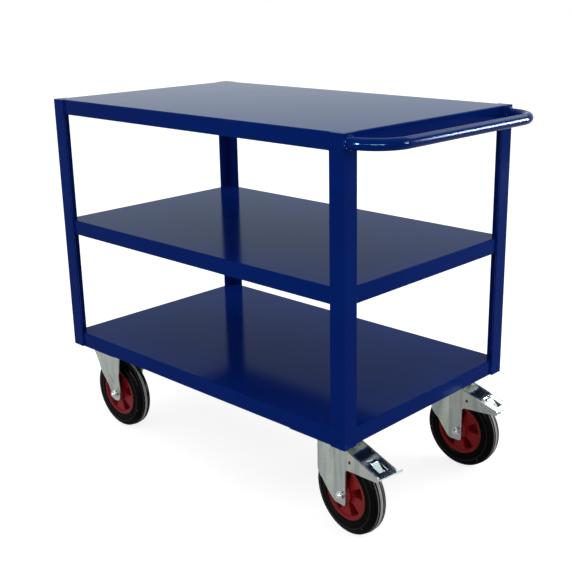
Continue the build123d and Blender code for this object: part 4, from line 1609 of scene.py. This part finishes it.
def studio_world(stage):
    """A white sweep round a room that is greyer overhead."""
    world = bpy.data.worlds.new("Studio")
    world.use_nodes = True
    tree = world.node_tree
    tree.nodes.clear()
    direction = add_node(tree, "ShaderNodeTexCoord").outputs["Generated"]
    parts = add_node(tree, "ShaderNodeSeparateXYZ")
    tree.links.new(direction, parts.inputs[0])
    height = remap(tree, parts.outputs["Z"], *SWEEP_TOP, 0.0, 1.0)
    straight = add_node(tree, "ShaderNodeLightPath").outputs["Is Camera Ray"]
    overhead = maths(tree, "MULTIPLY", height, maths(tree, "SUBTRACT", 1.0, straight))
    room = add_node(tree, "ShaderNodeBackground")
    feed(tree, room.inputs["Color"], mix_colour(tree, overhead, WHITE, stage.ceiling))
    lit = add_node(tree, "ShaderNodeBackground")
    feed(tree, lit.inputs["Strength"], stage.room_light)
    feed(tree, lit.inputs["Color"], WHITE)
    mix = add_node(tree, "ShaderNodeMixShader")
    tree.links.new(seen_directly(tree), mix.inputs[0])
    tree.links.new(lit.outputs[0], mix.inputs[1])
    tree.links.new(room.outputs[0], mix.inputs[2])
    tree.links.new(mix.outputs[0], add_node(tree, "ShaderNodeOutputWorld").inputs["Surface"])
    bpy.context.scene.world = world


def pale_floor(stage):
    """A wide floor that reads white and keeps the trolley's shadow."""
    bm = bmesh.new()
    bmesh.ops.create_grid(bm, x_segments=1, y_segments=1, size=stage.floor_size / 2)
    bmesh.ops.translate(bm, vec=(0, 0, CAD_BOX[0].z - 0.2 * MM), verts=bm.verts)
    mesh = bpy.data.meshes.new("floor")
    bm.to_mesh(mesh)
    bm.free()
    floor = bpy.data.objects.new("floor", mesh)
    bpy.context.scene.collection.objects.link(floor)
    finish = bpy.data.materials.new("pale_floor")
    finish.use_nodes = True
    tree = finish.node_tree
    tree.nodes.clear()
    paint = add_node(tree, "ShaderNodeBsdfDiffuse")
    feed(tree, paint.inputs["Color"], FLOOR_GREY)
    glow = add_node(tree, "ShaderNodeEmission")
    feed(tree, glow.inputs["Color"], WHITE)
    path = add_node(tree, "ShaderNodeLightPath").outputs
    plain = maths(tree, "MAXIMUM", path["Is Camera Ray"], path["Is Transmission Ray"])
    mirrored = maths(tree, "MULTIPLY", path["Is Glossy Ray"], stage.floor_sheen)
    white = maths(tree, "MULTIPLY", plain, stage.floor_glow)
    tree.links.new(maths(tree, "MAXIMUM", white, mirrored), glow.inputs["Strength"])
    both = add_node(tree, "ShaderNodeAddShader")
    tree.links.new(paint.outputs[0], both.inputs[0])
    tree.links.new(glow.outputs[0], both.inputs[1])
    tree.links.new(both.outputs[0], add_node(tree, "ShaderNodeOutputMaterial").inputs["Surface"])
    mesh.materials.append(finish)


def soft_box(name, place, aim, width, height, watts):
    """A rectangular lamp at place that faces aim."""
    lamp = bpy.data.lights.new(name, "AREA")
    lamp.shape = "RECTANGLE"
    lamp.size = width
    lamp.size_y = height
    lamp.energy = watts
    light = bpy.data.objects.new(name, lamp)
    light.location = place
    light.rotation_euler = (Vector(aim) - Vector(place)).to_track_quat("-Z", "Y").to_euler()
    bpy.context.scene.collection.objects.link(light)
    return light


def glint_box(name, place, aim, width, height, watts, pieces):
    """A soft box that is only mirrored, and only by the given pieces."""
    light = soft_box(name, place, aim, width, height, watts)
    light.visible_diffuse = False
    light.light_linking.receiver_collection = pieces
    return light


def low_window(name, place, aim, width, height, fill_watts, glint_watts, glinting):
    """A low lamp in two parts: a fill that lights all, and a nearer glint that only some pieces mirror."""
    fill = soft_box(f"{name}_fill", place, aim, width, height, fill_watts)
    fill.visible_glossy = False
    nearer = Vector(place).lerp(Vector(aim), GLINT_NEARER)
    glint_box(f"{name}_glint", nearer, aim, width, height, glint_watts, glinting)


def gathered(name, pieces):
    """A collection of the pieces that a glint may light."""
    collection = bpy.data.collections.new(name)
    for piece in pieces:
        collection.objects.link(piece)
    return collection


def studio_camera(stage):
    lens = bpy.data.cameras.new("camera")
    lens.lens = stage.focal_pixels / stage.picture_width * lens.sensor_width
    lens.shift_x = (stage.picture_width / 2 - stage.centre_x) / stage.picture_width
    lens.shift_y = (stage.centre_y - stage.picture_width / 2) / stage.picture_width
    camera = bpy.data.objects.new("camera", lens)
    camera.location = stage.camera_place
    level = Euler((pi / 2 - stage.camera_elevation, 0, stage.camera_azimuth)).to_matrix()
    camera.rotation_euler = (level @ Matrix.Rotation(stage.camera_roll, 3, "Z")).to_euler()
    bpy.context.scene.collection.objects.link(camera)
    bpy.context.scene.camera = camera


class TROLLEY_OT_stage(bpy.types.Operator):
    """Set the floor, the light and the camera"""

    bl_idname = "trolley.stage"
    bl_label = "Stage"

    def execute(self, context):
        stage = context.scene.trolley_stage
        context.scene.view_settings.view_transform = "Standard"
        studio_world(stage)
        pale_floor(stage)
        studio_camera(stage)
        shapes = [item for item in context.scene.objects if item.type == "MESH"]
        glinting = [piece for piece in shapes if not piece.name.endswith(NOT_GLINTING)]
        most = gathered("glinting_pieces", glinting)
        for name, window in LOW_WINDOWS.items():
            low_window(name, *window, most)
        handle = gathered("handle_pieces", [bpy.data.objects[name] for name in HANDLE_PIECES])
        for name, (place, width, watts) in HANDLE_WINDOWS.items():
            window = glint_box(name, place, HANDLE_AIM, width, HANDLE_WINDOW_HEIGHT, watts, handle)
            window.data.color = HANDLE_GLINT
        soft_box("high_window", *HIGH_WINDOW)
        return {"FINISHED"}


# Add-on layout

PIECE_OPERATORS = (
    TROLLEY_OT_trays,
    TROLLEY_OT_posts,
    TROLLEY_OT_handle,
    TROLLEY_OT_welds,
    TROLLEY_OT_channels,
    TROLLEY_OT_fasteners,
    TROLLEY_OT_brackets,
    TROLLEY_OT_swivel_heads,
    TROLLEY_OT_forks,
    TROLLEY_OT_brakes,
    TROLLEY_OT_axles,
    TROLLEY_OT_wheel_centres,
    TROLLEY_OT_tyres,
    TROLLEY_OT_bearings,
    TROLLEY_OT_stage,
)


class TROLLEY_PT_panel(bpy.types.Panel):
    """The trolley's operators in the order they run"""

    bl_idname = "TROLLEY_PT_panel"
    bl_label = "Shelf trolley"
    bl_space_type = "VIEW_3D"
    bl_region_type = "UI"
    bl_category = "Trolley"

    def draw(self, context):
        for operator in PIECE_OPERATORS:
            self.layout.operator(operator.bl_idname)


SETTINGS = {
    "trolley_frame": TrolleyFrameSizes,
    "trolley_castor": TrolleyCastorSizes,
    "trolley_finishes": TrolleyFinishes,
    "trolley_stage": TrolleyStage,
}
CLASSES = (*SETTINGS.values(), *PIECE_OPERATORS, TROLLEY_PT_panel)


def register():
    for item in CLASSES:
        bpy.utils.register_class(item)
    for name, group in SETTINGS.items():
        setattr(bpy.types.Scene, name, bpy.props.PointerProperty(type=group))


def unregister():
    for name in SETTINGS:
        delattr(bpy.types.Scene, name)
    for item in reversed(CLASSES):
        bpy.utils.unregister_class(item)


def main():
    register()
    for operator in PIECE_OPERATORS:
        group, name = operator.bl_idname.split(".")
        getattr(getattr(bpy.ops, group), name)()


if __name__ == "__main__":
    main()
